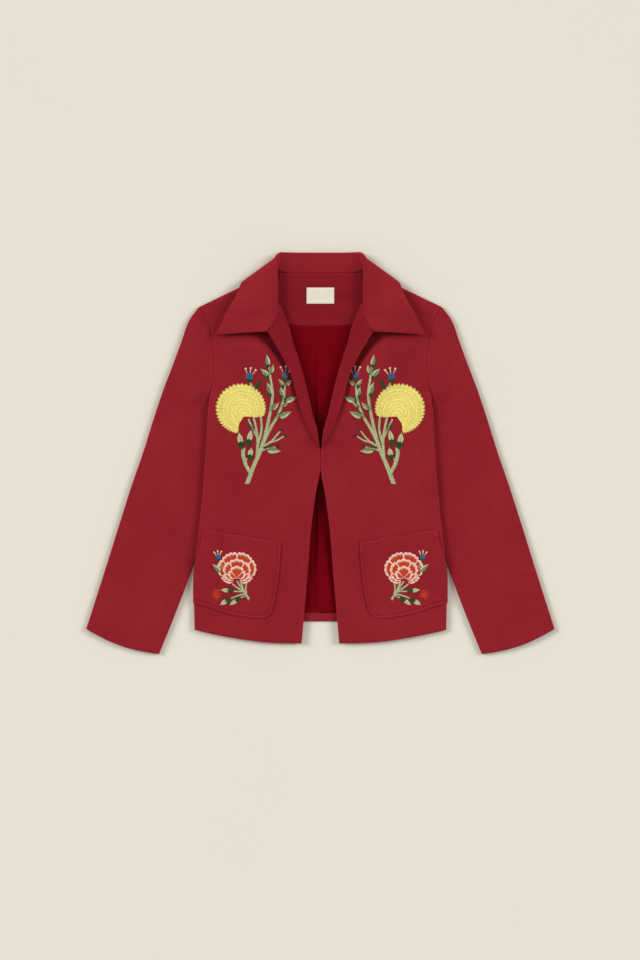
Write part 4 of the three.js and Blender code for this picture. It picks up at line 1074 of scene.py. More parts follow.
def make_collar():
    middle = collar_middle()
    last_row, last_column = middle.shape[0] - 1, middle.shape[1] - 1
    rows, columns = np.arange(last_row + 1), np.arange(last_column + 1)
    along = middle[np.minimum(rows + 1, last_row)] - middle[np.maximum(rows - 1, 0)]
    across = middle[:, np.minimum(columns + 1, last_column)] - middle[:, np.maximum(columns - 1, 0)]
    normal = unit(np.cross(across, along))

    def face(distance):
        points = middle + normal * distance
        points[..., 2] = np.maximum(points[..., 2], 0)
        return points

    places = np.stack([run_along(middle, 0), run_along(middle, 1)], axis=-1)
    lay_cloth(
        "cloth_collar", face(COLLAR_CLOTH / 2), face(-COLLAR_CLOTH / 2), (0.560, 0.115),
        ["cloth_front_left", "cloth_front_right"], held="folded", places=places, area=grid_area(middle))


# ---------------------------------------------------------------- materials
def srgb(red, green, blue):
    """A colour as Blender keeps it, from its value on a screen, 0 to 255."""
    def linear(value):
        share = value / 255
        return share / 12.92 if share < 0.04045 else ((share + 0.055) / 1.055) ** 2.4

    return (linear(red), linear(green), linear(blue), 1.0)


class Nodes:
    """Short ways to add and join shader nodes."""

    def __init__(self, owner, shader="Principled BSDF"):
        owner.use_nodes = True
        self.owner = owner
        self.tree = owner.node_tree
        self.shader = self.tree.nodes[shader]

    def node(self, kind, **values):
        made = self.tree.nodes.new(kind)
        for key, value in values.items():
            if key.startswith("_"):
                setattr(made, key[1:], value)
            else:
                made.inputs[key.replace("__", " ")].default_value = value
        return made

    def join(self, start, end):
        self.tree.links.new(start, end)

    def cloth_places(self, scale):
        place = self.node("ShaderNodeAttribute", _attribute_name="cloth")
        scaled = self.node("ShaderNodeVectorMath", _operation="SCALE")
        scaled.inputs["Scale"].default_value = scale
        self.join(place.outputs["Vector"], scaled.inputs[0])
        return scaled.outputs["Vector"]

    def math(self, operation, first, second):
        made = self.node("ShaderNodeMath", _operation=operation)
        for socket, value in zip(made.inputs, (first, second)):
            if isinstance(value, (int, float)):
                socket.default_value = value
            else:
                self.join(value, socket)
        return made.outputs[0]

    def noise(self, scale, detail=2.0, places=None):
        made = self.node("ShaderNodeTexNoise", Scale=scale, Detail=detail)
        if places is None:
            places = self.node("ShaderNodeTexCoord").outputs["Object"]
        self.join(places, made.inputs["Vector"])
        return made.outputs["Fac"]

    def spread(self, value, low, high, **ends):
        """Maps a range of values onto another, which goes from 0 to 1 unless it is given."""
        made = self.node("ShaderNodeMapRange", From__Min=low, From__Max=high, **ends)
        self.join(value, made.inputs["Value"])
        return made.outputs[0]

    def blend_colour(self, share, low, high):
        made = self.node("ShaderNodeMix", _data_type="RGBA")
        self.join(share, made.inputs["Factor"])
        for socket, value in ((made.inputs[6], low), (made.inputs[7], high)):
            if isinstance(value, tuple):
                socket.default_value = value
            else:
                self.join(value, socket)
        return made.outputs[2]

    def shade(self, **values):
        """Sets the shader's own sockets, and joins those that a node gives."""
        for key, value in values.items():
            socket = self.shader.inputs[key.replace("__", " ")]
            if isinstance(value, bpy.types.NodeSocket):
                self.join(value, socket)
            else:
                socket.default_value = value

    def bump(self, height, strength, distance):
        made = self.node("ShaderNodeBump", Strength=strength, Distance=distance)
        self.join(height, made.inputs["Height"])
        self.shade(Normal=made.outputs[0])


def weave_height(nodes, threads_per_metre):
    """A plain weave: each thread passes over and under its neighbours."""
    places = nodes.node("ShaderNodeSeparateXYZ")
    nodes.join(nodes.cloth_places(threads_per_metre * math.pi), places.inputs[0])
    warp, weft = (nodes.math("SINE", places.outputs[axis], 0) for axis in ("X", "Y"))
    return nodes.math("MULTIPLY", warp, weft)


FABRIC_BUMP, THREAD_BUMP, TWIST_DEPTH, TWISTS = 0.55, 0.35, 0.00012, 900.0
WORN_REACH = 0.0035  # how far in from the cloth's edge its wear goes, in metres
SHEEN_ROUGHNESS = 0.45
PATCH_SCALE, MOTTLE_SCALE, FIBRE_SCALE, SLUB_SCALE, THREAD_SCALE = 9.0, 140.0, 1700.0, 260.0, 420.0
TONE_RANGE, THREAD_TONE_RANGE = (0.36, 0.64), (0.35, 0.65)  # noise seldom goes beyond these


def fabric(name, dark, light, threads, roughness, sheen, sheen_tint, weave_depth, worn, gloss):
    nodes = Nodes(bpy.data.materials.new(name))

    def parts(first, first_share, second, second_share):
        return nodes.math(
            "ADD", nodes.math("MULTIPLY", first, first_share), nodes.math("MULTIPLY", second, second_share))

    patches = nodes.noise(PATCH_SCALE, 3.0)
    mottle = nodes.noise(MOTTLE_SCALE, 4.0)
    fibres = nodes.noise(FIBRE_SCALE, 2.0, nodes.cloth_places(1.0))
    tone = nodes.spread(parts(patches, 0.55, mottle, 0.45), *TONE_RANGE)
    base = nodes.blend_colour(tone, srgb(*dark), srgb(*light))
    weave = weave_height(nodes, threads)
    fibre_tone = nodes.math("MULTIPLY", nodes.math("SUBTRACT", fibres, 0.5), 0.5)
    from_edge = nodes.node("ShaderNodeAttribute", _attribute_name="from_edge").outputs["Fac"]
    near = nodes.spread(from_edge, 0.0, WORN_REACH, To__Min=worn, To__Max=0.0)
    light_worn = tuple(min(1.0, channel * 1.5 + 0.01) for channel in srgb(*light)[:3]) + (1.0,)
    wear = nodes.math("MULTIPLY", near, nodes.math("ADD", mottle, fibre_tone))
    shaded = nodes.node("ShaderNodeBrightContrast")
    nodes.join(nodes.blend_colour(wear, base, light_worn), shaded.inputs["Color"])
    woven_tone = nodes.math("ADD", nodes.math("MULTIPLY", weave, 0.10), fibre_tone)
    nodes.join(nodes.math("MULTIPLY", woven_tone, 0.035), shaded.inputs["Bright"])
    nodes.shade(
        Base__Color=shaded.outputs[0], Sheen__Weight=sheen, Sheen__Roughness=SHEEN_ROUGHNESS,
        Sheen__Tint=srgb(*sheen_tint), Specular__IOR__Level=gloss,
        Roughness=nodes.math("ADD", nodes.math("MULTIPLY", mottle, 0.12), roughness - 0.06))
    slubs = nodes.math("MULTIPLY", nodes.noise(SLUB_SCALE, 3.0), 0.9)
    nodes.bump(nodes.math("ADD", parts(weave, 0.5, fibres, 0.8), slubs), FABRIC_BUMP, weave_depth)
    materials[name] = nodes.owner


def thread(name, dark, light):
    """Embroidery floss: slightly glossy, twisted, its colour varying from stitch to stitch."""
    nodes = Nodes(bpy.data.materials.new(name))
    tone = nodes.spread(nodes.noise(THREAD_SCALE, 1.0), *THREAD_TONE_RANGE)
    colour = nodes.blend_colour(tone, srgb(*dark), srgb(*light))
    nodes.shade(Base__Color=colour, Roughness=0.48, Specular__IOR__Level=0.25, Sheen__Weight=0.04)
    twist = nodes.node("ShaderNodeTexWave", Scale=TWISTS, Distortion=0.4, _bands_direction="DIAGONAL")
    nodes.join(nodes.cloth_places(1.0), twist.inputs["Vector"])
    nodes.bump(twist.outputs["Fac"], THREAD_BUMP, TWIST_DEPTH)
    materials[name] = nodes.owner


RED_SHEEN = (235, 120, 125)
# Dark and light colour, threads a metre, roughness, sheen and its colour, the weave's
# depth in metres, wear at the edge, gloss.
FABRICS = {
    "shell": ((139, 26, 37), (149, 32, 43), 1300, 0.9, 0.07, RED_SHEEN, 0.00022, 0.30, 0.12),
    # A darker copy of the shell cloth: painted shade for the facings and the armhole's seam allowance, the
    # same cloth where it lies in shade.
    "shell_painted_shade": ((128, 19, 32), (138, 24, 37), 1300, 0.9, 0.05, RED_SHEEN, 0.00022, 0.2, 0.12),
    "lining": ((110, 0, 14), (120, 2, 19), 2600, 0.6, 0.01, (225, 90, 100), 0.0001, 0.1, 0.02),
    "label": ((234, 227, 207), (243, 237, 220), 2200, 0.62, 0.05, (255, 250, 240), 0.00012, 0.0, 0.12),
}
THREAD_COLOURS = {
    "red": ((120, 20, 30), (150, 34, 44)),
    "yellow": ((244, 229, 118), (253, 242, 148)),
    # A darker yellow laid on each bloom ring's rim: painted shade of the grooves between the rings.
    "ochre": ((212, 190, 86), (228, 208, 106)),
    "sage": ((176, 186, 138), (212, 214, 172)),
    "sage_deep": ((112, 130, 80), (150, 162, 112)),
    "green": ((34, 54, 26), (58, 80, 38)),
    "blue": ((0, 112, 158), (20, 150, 194)),
    "blue_deep": ((0, 58, 92), (6, 82, 120)),
    "cream": ((226, 208, 164), (244, 228, 192)),
    "pink": ((250, 212, 186), (255, 230, 212)),
    "rust": ((204, 52, 20), (230, 84, 36)),
    "rust_deep": ((164, 38, 14), (190, 56, 22)),
    "berry": ((30, 48, 40), (48, 66, 54)),
}


def make_materials():
    for name, look in FABRICS.items():
        fabric(name, *look)
    for colour, tones in THREAD_COLOURS.items():
        thread(f"thread_{colour}", *tones)


# ---------------------------------------------------------------- threads
THREAD_WIDTH = 0.95
THREAD_HEIGHT = 0.42
THREAD_PITCH = 0.78
# Along a thread: share of its length, share of its width, share of its height.
THREAD_SECTIONS = [(0.0, 0.4, 0.1), (0.14, 1.0, 0.85), (0.5, 1.0, 0.9), (0.86, 1.0, 0.85), (1.0, 0.4, 0.1)]
THREAD_CORNERS = [(-0.5, 0.0), (0.0, 1.0), (0.5, 0.0)]  # of a section: sideways and up
THREAD_SINK = 0.06
STRAY = 0.09
WIDTH_RANGE, HEIGHT_RANGE = (0.9, 1.1), (0.85, 1.15)


def front_surface(x, y, side):
    return FRONT_MID + FRONT_CLOTH / 2 + lift(x, y) + front_height(x, y, side)


def pocket_surface(x, y, side):
    return front_surface(x, y, side) + SEAM_GAP + POCKET_CLOTH


def label_surface(x, y, side):
    return BACK_MID + lift(x, y) + back_height(x, y) + ON_FACING + LABEL_CLOTH


class Threads:
    """Stitches laid on the cloth, kept until they are joined into one mesh."""

    def __init__(self, surface, seed):
        self.surface = surface
        self.draw = random.Random(seed)
        self.rows = []
        self.colours = []

    def lay(self, start, end, colour, width=THREAD_WIDTH, height=THREAD_HEIGHT, level=0.0):
        if colour not in self.colours:
            self.colours.append(colour)
        stray = [self.draw.uniform(-STRAY, STRAY) for _ in range(4)]
        self.rows.append((
            start[0] + stray[0], start[1] + stray[1], end[0] + stray[2], end[1] + stray[3],
            width * self.draw.uniform(*WIDTH_RANGE), height * self.draw.uniform(*HEIGHT_RANGE), level,
            self.colours.index(colour),
        ))

    def ray(self, foot, ahead, start, end, colour, **look):
        """A stitch between two distances along a line from a foot."""
        self.lay(foot + ahead * start, foot + ahead * end, colour, **look)

    def make(self, name, side):
        rows = np.array(self.rows)
        start, end = rows[:, 0:2], rows[:, 2:4]
        width, height, level = rows[:, 4], rows[:, 5], rows[:, 6]
        length = np.linalg.norm(end - start, axis=1)
        along = (end - start) / np.maximum(length, 1e-6)[:, None]
        across = np.stack([-along[:, 1], along[:, 0]], axis=1)
        points, places = [], []
        for share, breadth, rise in THREAD_SECTIONS:
            middle = mix(start, end, share)
            low = self.surface(*xy(middle), side) + level - THREAD_SINK
            for sideways, up in THREAD_CORNERS:
                plan = middle + across * (width * breadth * sideways)[:, None]
                points.append(raised(plan, low + height * rise * up))
                places.append(np.stack([share * length, width * sideways, 0 * width], axis=1))
        points, places = np.stack(points, axis=1), np.stack(places, axis=1)
        points[..., 0] *= side
        corners, per_thread = len(THREAD_CORNERS), points.shape[1]
        shape = []
        for first in range(0, per_thread - corners, corners):
            for corner in range(corners):
                a, b = first + corner, first + (corner + 1) % corners
                shape.append([a, b, b + corners, a + corners])
        last = per_thread - corners
        shape += [[2, 1, 0], [last, last + 1, last + 2]]
        if side < 0:
            shape = [face[::-1] for face in shape]
        faces, face_colours = [], []
        for number, colour in enumerate(rows[:, 7].astype(int).tolist()):
            faces.extend([number * per_thread + p for p in face] for face in shape)
            face_colours.extend([colour] * len(shape))
        mesh = new_mesh(
            name, points.reshape(-1, 3), faces, places.reshape(-1, 3),
            [f"thread_{colour}" for colour in self.colours], face_colours)
        add_piece(mesh, name)


# ---------------------------------------------------------------- sewing
ALLOWANCE_HALF, ALLOWANCE_LOW, ALLOWANCE_CLOTH = 4.5, 3.9, 0.95
ALLOWANCE_SHORT = 1.5  # how far it stays inside the shoulder
ALLOWANCE_ROWS, ALLOWANCE_COLUMNS = 60, 7
STITCH_LENGTH, STITCH_GAP, STITCH_SINK = 2.6, 0.9, 0.85
# The pocket's stitches: y down its inner edge and x out along its bottom, and how many points.
STITCHES_DOWN = (POCKET_INNER[-1][1] - 4, POCKET_INNER[0][1] + 16, 9)
STITCHES_OUT = (100, 214, 12)
LABEL_STITCH, LABEL_STITCH_STEP, LABEL_STITCH_INSET = 1.7, 2.4, 1.2


def make_armhole_allowance(side, word):
    """The pressed seam allowance inside the armhole, seen only through the seam."""
    share = np.linspace(0.0, 1, ALLOWANCE_ROWS)
    line, heading = armhole.along(share), armhole.heading(share)
    square = np.stack([heading[:, 1], -heading[:, 0]], axis=1)
    across = np.linspace(-ALLOWANCE_HALF, ALLOWANCE_HALF, ALLOWANCE_COLUMNS)
    plan = line[:, None] + square[:, None] * across[None, :, None]
    plan[..., 1] = np.minimum(plan[..., 1], shoulder_y(plan[..., 0]) - ALLOWANCE_SHORT)
    low = raised(plan, np.full(plan.shape[:2], ALLOWANCE_LOW))
    # The allowance gets the darker copy of the shell cloth: painted shade, as it is seen only down the seam's
    # gap.
    lay_cloth(
        f"armhole_allowance_{word}", low + np.array([0, 0, ALLOWANCE_CLOTH]), low, (0.170, 0.012),
        [f"cloth_sleeve_{word}"], side, material="shell_painted_shade")


def make_pocket_stitches(side, word):
    """The line of stitches inside the pocket's inner and lower edges, each drawn in a little."""
    threads = Threads(pocket_surface, POCKET_STITCH_SEED + side)
    inner = pocket_inner.where(1, np.linspace(*STITCHES_DOWN)) + np.array([POCKET_STITCH_INSET, 0])
    low = pocket_bottom.where(0, np.linspace(*STITCHES_OUT)) + np.array([0, POCKET_STITCH_INSET])
    curve = Spline(np.concatenate([inner, low]))
    step = STITCH_LENGTH + STITCH_GAP
    for number in range(int(curve.length // step)):
        ends = curve.along(np.array([number * step, number * step + STITCH_LENGTH]) / curve.length)
        threads.lay(*ends, "red", width=0.55, height=0.3, level=-STITCH_SINK)
    threads.make(f"stitches_pocket_{word}", side)


def make_label_stitches():
    """The label is sewn down all round, close to its edge."""
    threads = Threads(label_surface, LABEL_STITCH_SEED)
    half_x, half_y = LABEL_WIDTH / 2 - LABEL_STITCH_INSET, LABEL_DEPTH / 2 - LABEL_STITCH_INSET
    signs = [(-1, -1), (1, -1), (1, 1), (-1, 1), (-1, -1)]
    corners = [np.array([half_x * across, LABEL_Y + half_y * up]) for across, up in signs]
    for start, end in zip(corners, corners[1:]):
        length = np.linalg.norm(end - start)
        for number in range(int(length // LABEL_STITCH_STEP)):
            first = number * LABEL_STITCH_STEP
            ends = (mix(start, end, place / length) for place in (first, first + LABEL_STITCH))
            threads.lay(*ends, "cream", width=0.45, height=0.28, level=0.02)
    threads.make("stitches_label", 1)


# ---------------------------------------------------------------- embroidered forms
LEAF_FOOT = 0.2  # the share of a leaf, from its foot, that is left to the dark leaf behind it
DARK_LEAF_LENGTH, DARK_LEAF_BREADTH, DARK_LEAF_ASIDE, DARK_LEAF_BACK = 0.78, 1.02, 0.34, 1.8
STEM_SLANT = 62
BERRY_THREADS, BERRY_RADIUS = 7, 2.8
LEAF_ROUND, LEAF_SLANT, LEAF_OVERLAP = 0.72, 0.7, 0.1
LEAF_TIP_FROM, LEAF_TIP_PAST, RIB_TO = 0.8, 1.5, 0.72
# A thistle's head and its cup, by its size: half breadth and distance ahead at the foot,
# the same at the top, how far the top's sides go ahead, threads, their tints, level.
THISTLE_PARTS = [
    ((0.42, -0.1), (0.52, 0.86), -0.3, 11, ["blue", "blue_deep", "blue"], 0.1),
    ((0.12, -0.55), (0.6, -0.02), 0.2, 9, ["green"], 0.25),
]
STAMEN_FOOT, STAMEN_TOP, STAMEN_KNOB = 0.8, 1.5, 0.15
STAMEN_ANGLES, KNOB_THREADS = (-28, 0, 28), (-0.6, 0.1, 0.8, 1.5)


def turned(vector, degrees):
    angle = math.radians(degrees)
    cos, sin = math.cos(angle), math.sin(angle)
    return np.array([vector[0] * cos - vector[1] * sin, vector[0] * sin + vector[1] * cos])


def middles(count):
    """Each number up to a count, with the middle of its share of the whole."""
    return [(number, (number + 0.5) / count) for number in range(count)]


def stem(threads, path, width, tip_width):
    """A band of slanting satin stitches along a path, narrower towards its tip."""
    curve = Spline(path)
    outline = []
    for number, share in middles(max(2, round(curve.length / THREAD_PITCH))):
        middle, heading = curve.along(share), curve.heading(share)
        half = mix(width, tip_width, share) / 2
        tint = "sage_deep" if number % 5 == 2 else "sage"
        threads.ray(middle, turned(heading, STEM_SLANT) * half, -1, 1, tint)
        outline.append(middle + turned(heading, -90) * (half + 0.2))
    for first, last in zip(outline[::3], outline[3::3]):
        threads.lay(first, last, "green", width=0.6, height=0.3)


def leaf(threads, base, tip, breadth, colour="sage", shade="green", level=0.0):
    """Two rows of stitches from a midrib to a pointed edge, over a darker leaf that shows beside it."""
    base, tip = np.array(base, float), np.array(tip, float)
    run = tip - base
    length = np.linalg.norm(run)
    ahead = run / length
    aside = np.array([-ahead[1], ahead[0]])
    plain = shade == colour
    if not plain:
        behind = base - ahead * DARK_LEAF_BACK - aside * breadth * DARK_LEAF_ASIDE
        dark_tip = behind + run * DARK_LEAF_LENGTH
        leaf(threads, behind, dark_tip, breadth * DARK_LEAF_BREADTH, shade, shade, level)
        level += 0.3
    for _, share in middles(max(4, round(length / THREAD_PITCH))):
        if not plain and share < LEAF_FOOT:
            continue
        half = breadth / 2 * math.sin(math.pi * share**LEAF_ROUND) + 0.2
        rib = base + run * share
        for way in (-1, 1):
            edge = rib + aside * way * half + ahead * half * LEAF_SLANT
            tint = colour if plain or way > 0 else f"{colour}_deep"
            threads.lay(rib - aside * way * LEAF_OVERLAP, edge, tint, level=level)
    threads.lay(base + run * LEAF_TIP_FROM, tip + ahead * LEAF_TIP_PAST, colour, level=level + 0.05)
    if not plain:
        threads.lay(base, base + run * RIB_TO, shade, width=0.6, level=level + 0.2)


def bud(threads, base, tip, breadth):
    """A closed bud in a dark calyx."""
    base, tip = np.array(base, float), np.array(tip, float)
    leaf(threads, base, tip + (tip - base) * 0.12, breadth, "sage", "sage")
    leaf(threads, base - (tip - base) * 0.3, mix(base, tip, 0.38), breadth * 1.3, "green", "green", level=0.3)


def berry(threads, place):
    for number in range(BERRY_THREADS):
        away = turned((BERRY_RADIUS, 0), 180 * number / BERRY_THREADS)
        threads.ray(np.array(place), away, -1, 1, "berry", width=0.8, level=0.2 + 0.03 * number)


def thistle(threads, place, degrees, size):
    """A blue head over a dark cup, with three cream stamens; its parts go by its size."""
    place = np.array(place, float)
    ahead = turned((1, 0), degrees)
    aside = np.array([-ahead[1], ahead[0]])
    for (foot_half, foot_ahead), (top_half, top_ahead), sides, count, tints, level in THISTLE_PARTS:
        for number, share in middles(count):
            share = share * 2 - 1
            foot = place + aside * share * size * foot_half + ahead * size * foot_ahead
            top = place + aside * share * size * top_half + ahead * size * (top_ahead + sides * share**2)
            threads.lay(foot, top, tints[number % len(tints)], level=level)
    for spread in STAMEN_ANGLES:
        away = turned(ahead, spread)
        foot, top = place + away * size * STAMEN_FOOT, place + away * size * STAMEN_TOP
        threads.lay(foot, top, "cream", width=1.3, level=0.1)
        knob = turned(away, 90) * size * STAMEN_KNOB
        for shift in KNOB_THREADS:
            threads.ray(top + away * shift, knob, -1, 1, "cream", width=0.9, level=0.2)


def reach_to_ellipse(focus, centre, radii, degrees):
    """How far it is from the focus to an ellipse, in a direction."""
    angle = np.radians(degrees)
    ahead = np.stack([np.cos(angle), np.sin(angle)], axis=-1) / radii
    offset = (np.array(focus, float) - centre) / radii
    a = (ahead**2).sum(-1)
    b = (ahead * offset).sum(-1)
    c = (offset**2).sum() - 1
    return (-b + np.sqrt(b * b - a * c)) / a


def past_ellipse(focus, ahead, centre, radii):
    """How far out along a line the far side of an ellipse is, or 0 where the line misses it."""
    run, offset = ahead / radii, (focus - centre) / radii
    a, b, c = run @ run, run @ offset, offset @ offset - 1
    square = b * b - a * c
    return max(0.0, (math.sqrt(square) - b) / a) if square > 0 else 0.0


BLOOM_RIM, RING_RIM = 4.8, 1.9  # how far the lobes stand out, on the last ring and on the others
RING_WAVER = 0.9
LAST_SHARE, LAST_CUT = 0.955, 5  # the fan's last corner is rounded off from this share on
RING_LEVEL, RING_OVERLAP, GROOVE_SHADE_TICK_LENGTH = 0.05, 2.2, 2.6


def fan_bloom(threads, focus, centre, radius, span, rows, scallops):
    """Rings of satin stitches round a focus, each ring's rim scalloped and ticked with a darker thread as
    painted groove shade.
    """
    first, last = span
    focus = np.array(focus, float)
    for row in range(rows):
        inner, outer = row / rows, (row + 1) / rows
        outermost = row == rows - 1
        count = max(6, round(math.radians(last - first) * radius * 1.05 * outer / THREAD_PITCH))
        lobes = max(5, round(scallops * outer**0.6))
        level = RING_LEVEL * (rows - row)
        for number, share in middles(count):
            degrees = mix(first, last, share)
            reach = float(reach_to_ellipse(focus, centre, (radius, radius), degrees))
            lobe = abs(math.sin(math.pi * (share * lobes + 0.5 * (row % 2)))) ** 0.6
            rim = outer * reach + (BLOOM_RIM if outermost else RING_RIM) * (lobe - 0.72)
            if not outermost:
                rim += RING_WAVER * math.sin(math.radians(degrees) * 3.1 + row * 1.9)
            rim -= LAST_CUT * max(0.0, share - LAST_SHARE) / (1 - LAST_SHARE) * outer
            ahead = turned((1, 0), degrees)
            start = max(inner * reach - RING_OVERLAP, past_ellipse(focus, ahead, *BLOOM_HOLLOW))
            if start > rim - 1:
                continue
            threads.ray(focus, ahead, start, rim, "yellow", width=1.05, height=0.34, level=level)
            # Darker ochre ticks just inside each rim paint the shade of the groove between this ring and the
            # next.
            if number % 3 != row % 3:
                threads.ray(
                    focus, ahead, rim - GROOVE_SHADE_TICK_LENGTH, rim - 0.2, "ochre", width=0.9, height=0.3,
                    level=level + 0.1)


PETAL_BORDER = 3.5
PETAL_CORNER, PETAL_SCALLOP = 5.0, 2.6  # how far its corners are rounded off, and its lobes stand out
PETAL_SIDE = 1.7  # the pale border down its sides


def petal(threads, focus, span, reaches, lobes, level):
    """A rust petal between two shares of the flower's reach, with a pale scalloped border."""
    first, last = span
    inner, outer = reaches
    mean = (outer(first) + outer(last) + outer((first + last) / 2)) / 3
    breadth = math.radians(last - first) * mean
    for number, share in middles(max(5, round(breadth / (THREAD_PITCH * 0.95)))):
        degrees = mix(first, last, share)
        ahead = turned((1, 0), degrees)
        lobe = abs(math.sin(math.pi * share * lobes)) ** 0.6
        rounded = (1 - (2 * share - 1) ** 4) ** 0.5
        rim = outer(degrees) - PETAL_CORNER * (1 - rounded) + PETAL_SCALLOP * (lobe - 0.65)
        start = min(inner(degrees), rim - 2.0)
        if min(share, 1 - share) * breadth < PETAL_SIDE:
            threads.ray(focus, ahead, start, rim, "pink", level=level + 0.12)
            continue
        ragged = 0.6 + 0.35 * lobe + 0.25 * (number % 2) + 0.5 * (number % 3 == 0)
        border = rim - PETAL_BORDER * ragged
        if border > start:
            tint = "rust_deep" if number % 5 in (1, 2) else "rust"
            threads.ray(focus, ahead, start, border + 0.4, tint, level=level)
        threads.ray(focus, ahead, border, rim, "pink", height=0.5, level=level + 0.1)


# Tiers of the carnation: inner and outer shares of its reach, the span of each petal in
# degrees, and how many lobes each has.
CARNATION_TIERS = [
    (0.62, 1.02, [(-44, 4), (6, 52), (50, 91), (90, 132), (129, 176), (177, 225)], 4),
    (0.34, 0.74, [(-30, 22), (20, 66), (62, 118), (114, 160), (158, 210)], 3),
    (0.0, 0.46, [(-16, 48), (44, 136), (132, 196)], 3),
]


def carnation(threads, focus, centre, radii):
    """Tiers of petals fanned round a focus, the inner ones lying over the outer."""
    focus = np.array(focus, float)

    def reach(share):
        return lambda degrees: share * float(reach_to_ellipse(focus, centre, radii, degrees))

    for level, (inner, outer, spans, lobes) in enumerate(CARNATION_TIERS):
        for span in spans:
            petal(threads, focus, span, (reach(inner), reach(outer)), lobes, 0.16 * level)


def star(threads, place, radius, rays):
    """Rays of thread from a point, every other one shorter."""
    for number in range(rays):
        away = turned((1, 0), 360 * number / rays + 8)
        far = radius * (1.0 if number % 2 == 0 else 0.86)
        threads.ray(np.array(place), away, 0.8, far, "rust", width=1.3, height=0.5)


# ---------------------------------------------------------------- the embroidery's layout
BLOOM_CENTRE, BLOOM_RADIUS, BLOOM_ROWS, BLOOM_SCALLOPS = (139.0, 77.5), 43.0, 10, 34
BLOOM_FOCUS, BLOOM_SPAN = (134.0, 64.0), (-69, 184)
BLOOM_HOLLOW = np.array([130.0, 43.0]), np.array([13.5, 17.5])  # at the bloom's foot: centre, radii
# Stems of the chest spray: x, y down the path, then width at foot and tip.
SPRAY_STEMS = {
    "main": (
        [(128, -54), (117, -24), (104, 6), (95, 38), (88, 70), (83.5, 102), (87, 130), (90, 149)], 9.4, 4.2),
    "branch": ([(102, 14), (88, 42), (73, 68), (64.5, 93), (62, 122)], 7.4, 4.0),
    "bloom_inner": ([(111, -8), (109.5, 20), (113, 46), (117, 63)], 6.6, 4.2),
    "bloom_outer": ([(110, 12), (103, 40), (104, 62)], 5.6, 4.2),
    "bloom_side": ([(110, 26), (120, 46), (126, 59)], 4.6, 3.0),
    "low": ([(122, -36), (130, -21), (135, -4), (134.5, 8)], 7.2, 8.4),
    "low_side": ([(131, -14), (127, -8), (125, -2)], 3.4, 3.0),
    "twig_upper": ([(99, 12), (85, 21), (70.5, 38)], 5.0, 3.2),
    "twig_middle": ([(90, 18), (76, 22), (64, 29)], 4.2, 3.0),
    "twig_lower": ([(101, 5), (89, 8), (79, 10.5)], 4.4, 3.0),
    "thistle": ([(122, 122), (118, 114), (113, 105)], 3.4, 3.0),
}
# Leaves by rule: stem, share up it, side of it, angle off it, length, breadth, which thread.
SPRAY_LEAVES = [
    ("main", 0.63, 1, 34, 20, 7.4, "sage"), ("main", 0.75, -1, 24, 25, 8.6, "sage"),
    ("main", 0.93, 1, 24, 17, 7.4, "sage"), ("main", 0.91, -1, 38, 21, 8.4, "sage"),
    ("main", 1.00, 0, 0, 22, 7.8, "sage"), ("branch", 0.44, 1, 34, 27, 9.6, "sage"),
    ("branch", 0.62, 1, 30, 14, 4.4, "sage"), ("branch", 0.70, 1, 52, 24, 9.0, "sage"),
    ("branch", 0.76, -1, 24, 19, 7.4, "sage"), ("branch", 0.94, 1, 42, 15, 6.6, "sage"),
    ("branch", 0.93, -1, 38, 15, 6.2, "sage"), ("bloom_side", 0.30, -1, 10, 18, 6.8, "green"),
    ("thistle", 0.78, -1, 118, 22, 7.8, "green"), ("twig_lower", 0.05, 1, 18, 28, 10.0, "sage"),
]
SPRAY_BUDS = [((138, 12), (141.5, 32), 9.6), ((125.5, 16), (121.5, 37), 9.0), ((124, -9), (121, 6), 8.8)]
SPRAY_BERRIES = [(68.5, 41), (60.8, 30.5), (74.5, 12)]
SPRAY_THISTLES = [((61.5, 132), 94, 12.5), ((124, 129), 98, 12.5)]

FLOWER_FOCUS, FLOWER_CENTRE, FLOWER_RADII = (145.8, -218), (145.8, -202.5), (33.0, 28.5)
POCKET_STEMS = {
    "foot": ([(124.5, -256), (131, -246), (136, -236), (140, -222)], 5.0, 3.8),
    "outer": ([(132, -244), (143, -237), (154, -229)], 4.2, 3.2),
    "middle": ([(132, -244), (139, -234), (146, -224)], 3.8, 3.0),
    "inner": ([(129, -248), (130.5, -238), (129.5, -228)], 3.6, 3.0),
    "bud_upper": ([(134, -242), (146, -242), (156, -241)], 3.2, 2.4),
    "bud_middle": ([(132, -246), (146, -250), (160, -256)], 3.4, 2.6),
    "bud_lower": ([(130, -249), (137, -252), (143, -255)], 3.0, 2.4),
    "blue": ([(170, -202), (174, -196), (177, -190)], 3.4, 2.8),
}
POCKET_BUDS = [
    ((156, -241), (171, -239.5), 6.8), ((160, -256), (173, -264), 8.0), ((143, -255), (156, -264), 7.0),
]
POCKET_LEAF = (171, -210), (187.5, -195), 7.6
POCKET_THISTLE = (178.0, -184.5), 84, 8.6
STAR_PLACE, STAR_RADIUS, STAR_RAYS = (181.5, -247), 11, 11


def make_spray(side, word):
    threads = Threads(front_surface, SPRAY_SEED + side)
    curves = {}
    for name, (path, width, tip_width) in SPRAY_STEMS.items():
        curves[name] = Spline(path)
        stem(threads, path, width, tip_width)
    for name, share, way, off, length, breadth, colour in SPRAY_LEAVES:
        base = curves[name].along(share)
        ahead = turned(curves[name].heading(share), off * way)
        start = base + ahead * (1.5 if way else -1.0)
        leaf(threads, start, start + ahead * length, breadth, colour)
    for base, tip, breadth in SPRAY_BUDS:
        bud(threads, base, tip, breadth)
    for place in SPRAY_BERRIES:
        berry(threads, place)
    for place, degrees, size in SPRAY_THISTLES:
        thistle(threads, place, degrees, size)
    fan_bloom(threads, BLOOM_FOCUS, BLOOM_CENTRE, BLOOM_RADIUS, BLOOM_SPAN, BLOOM_ROWS, BLOOM_SCALLOPS)
    threads.make(f"embroidery_spray_{word}", side)


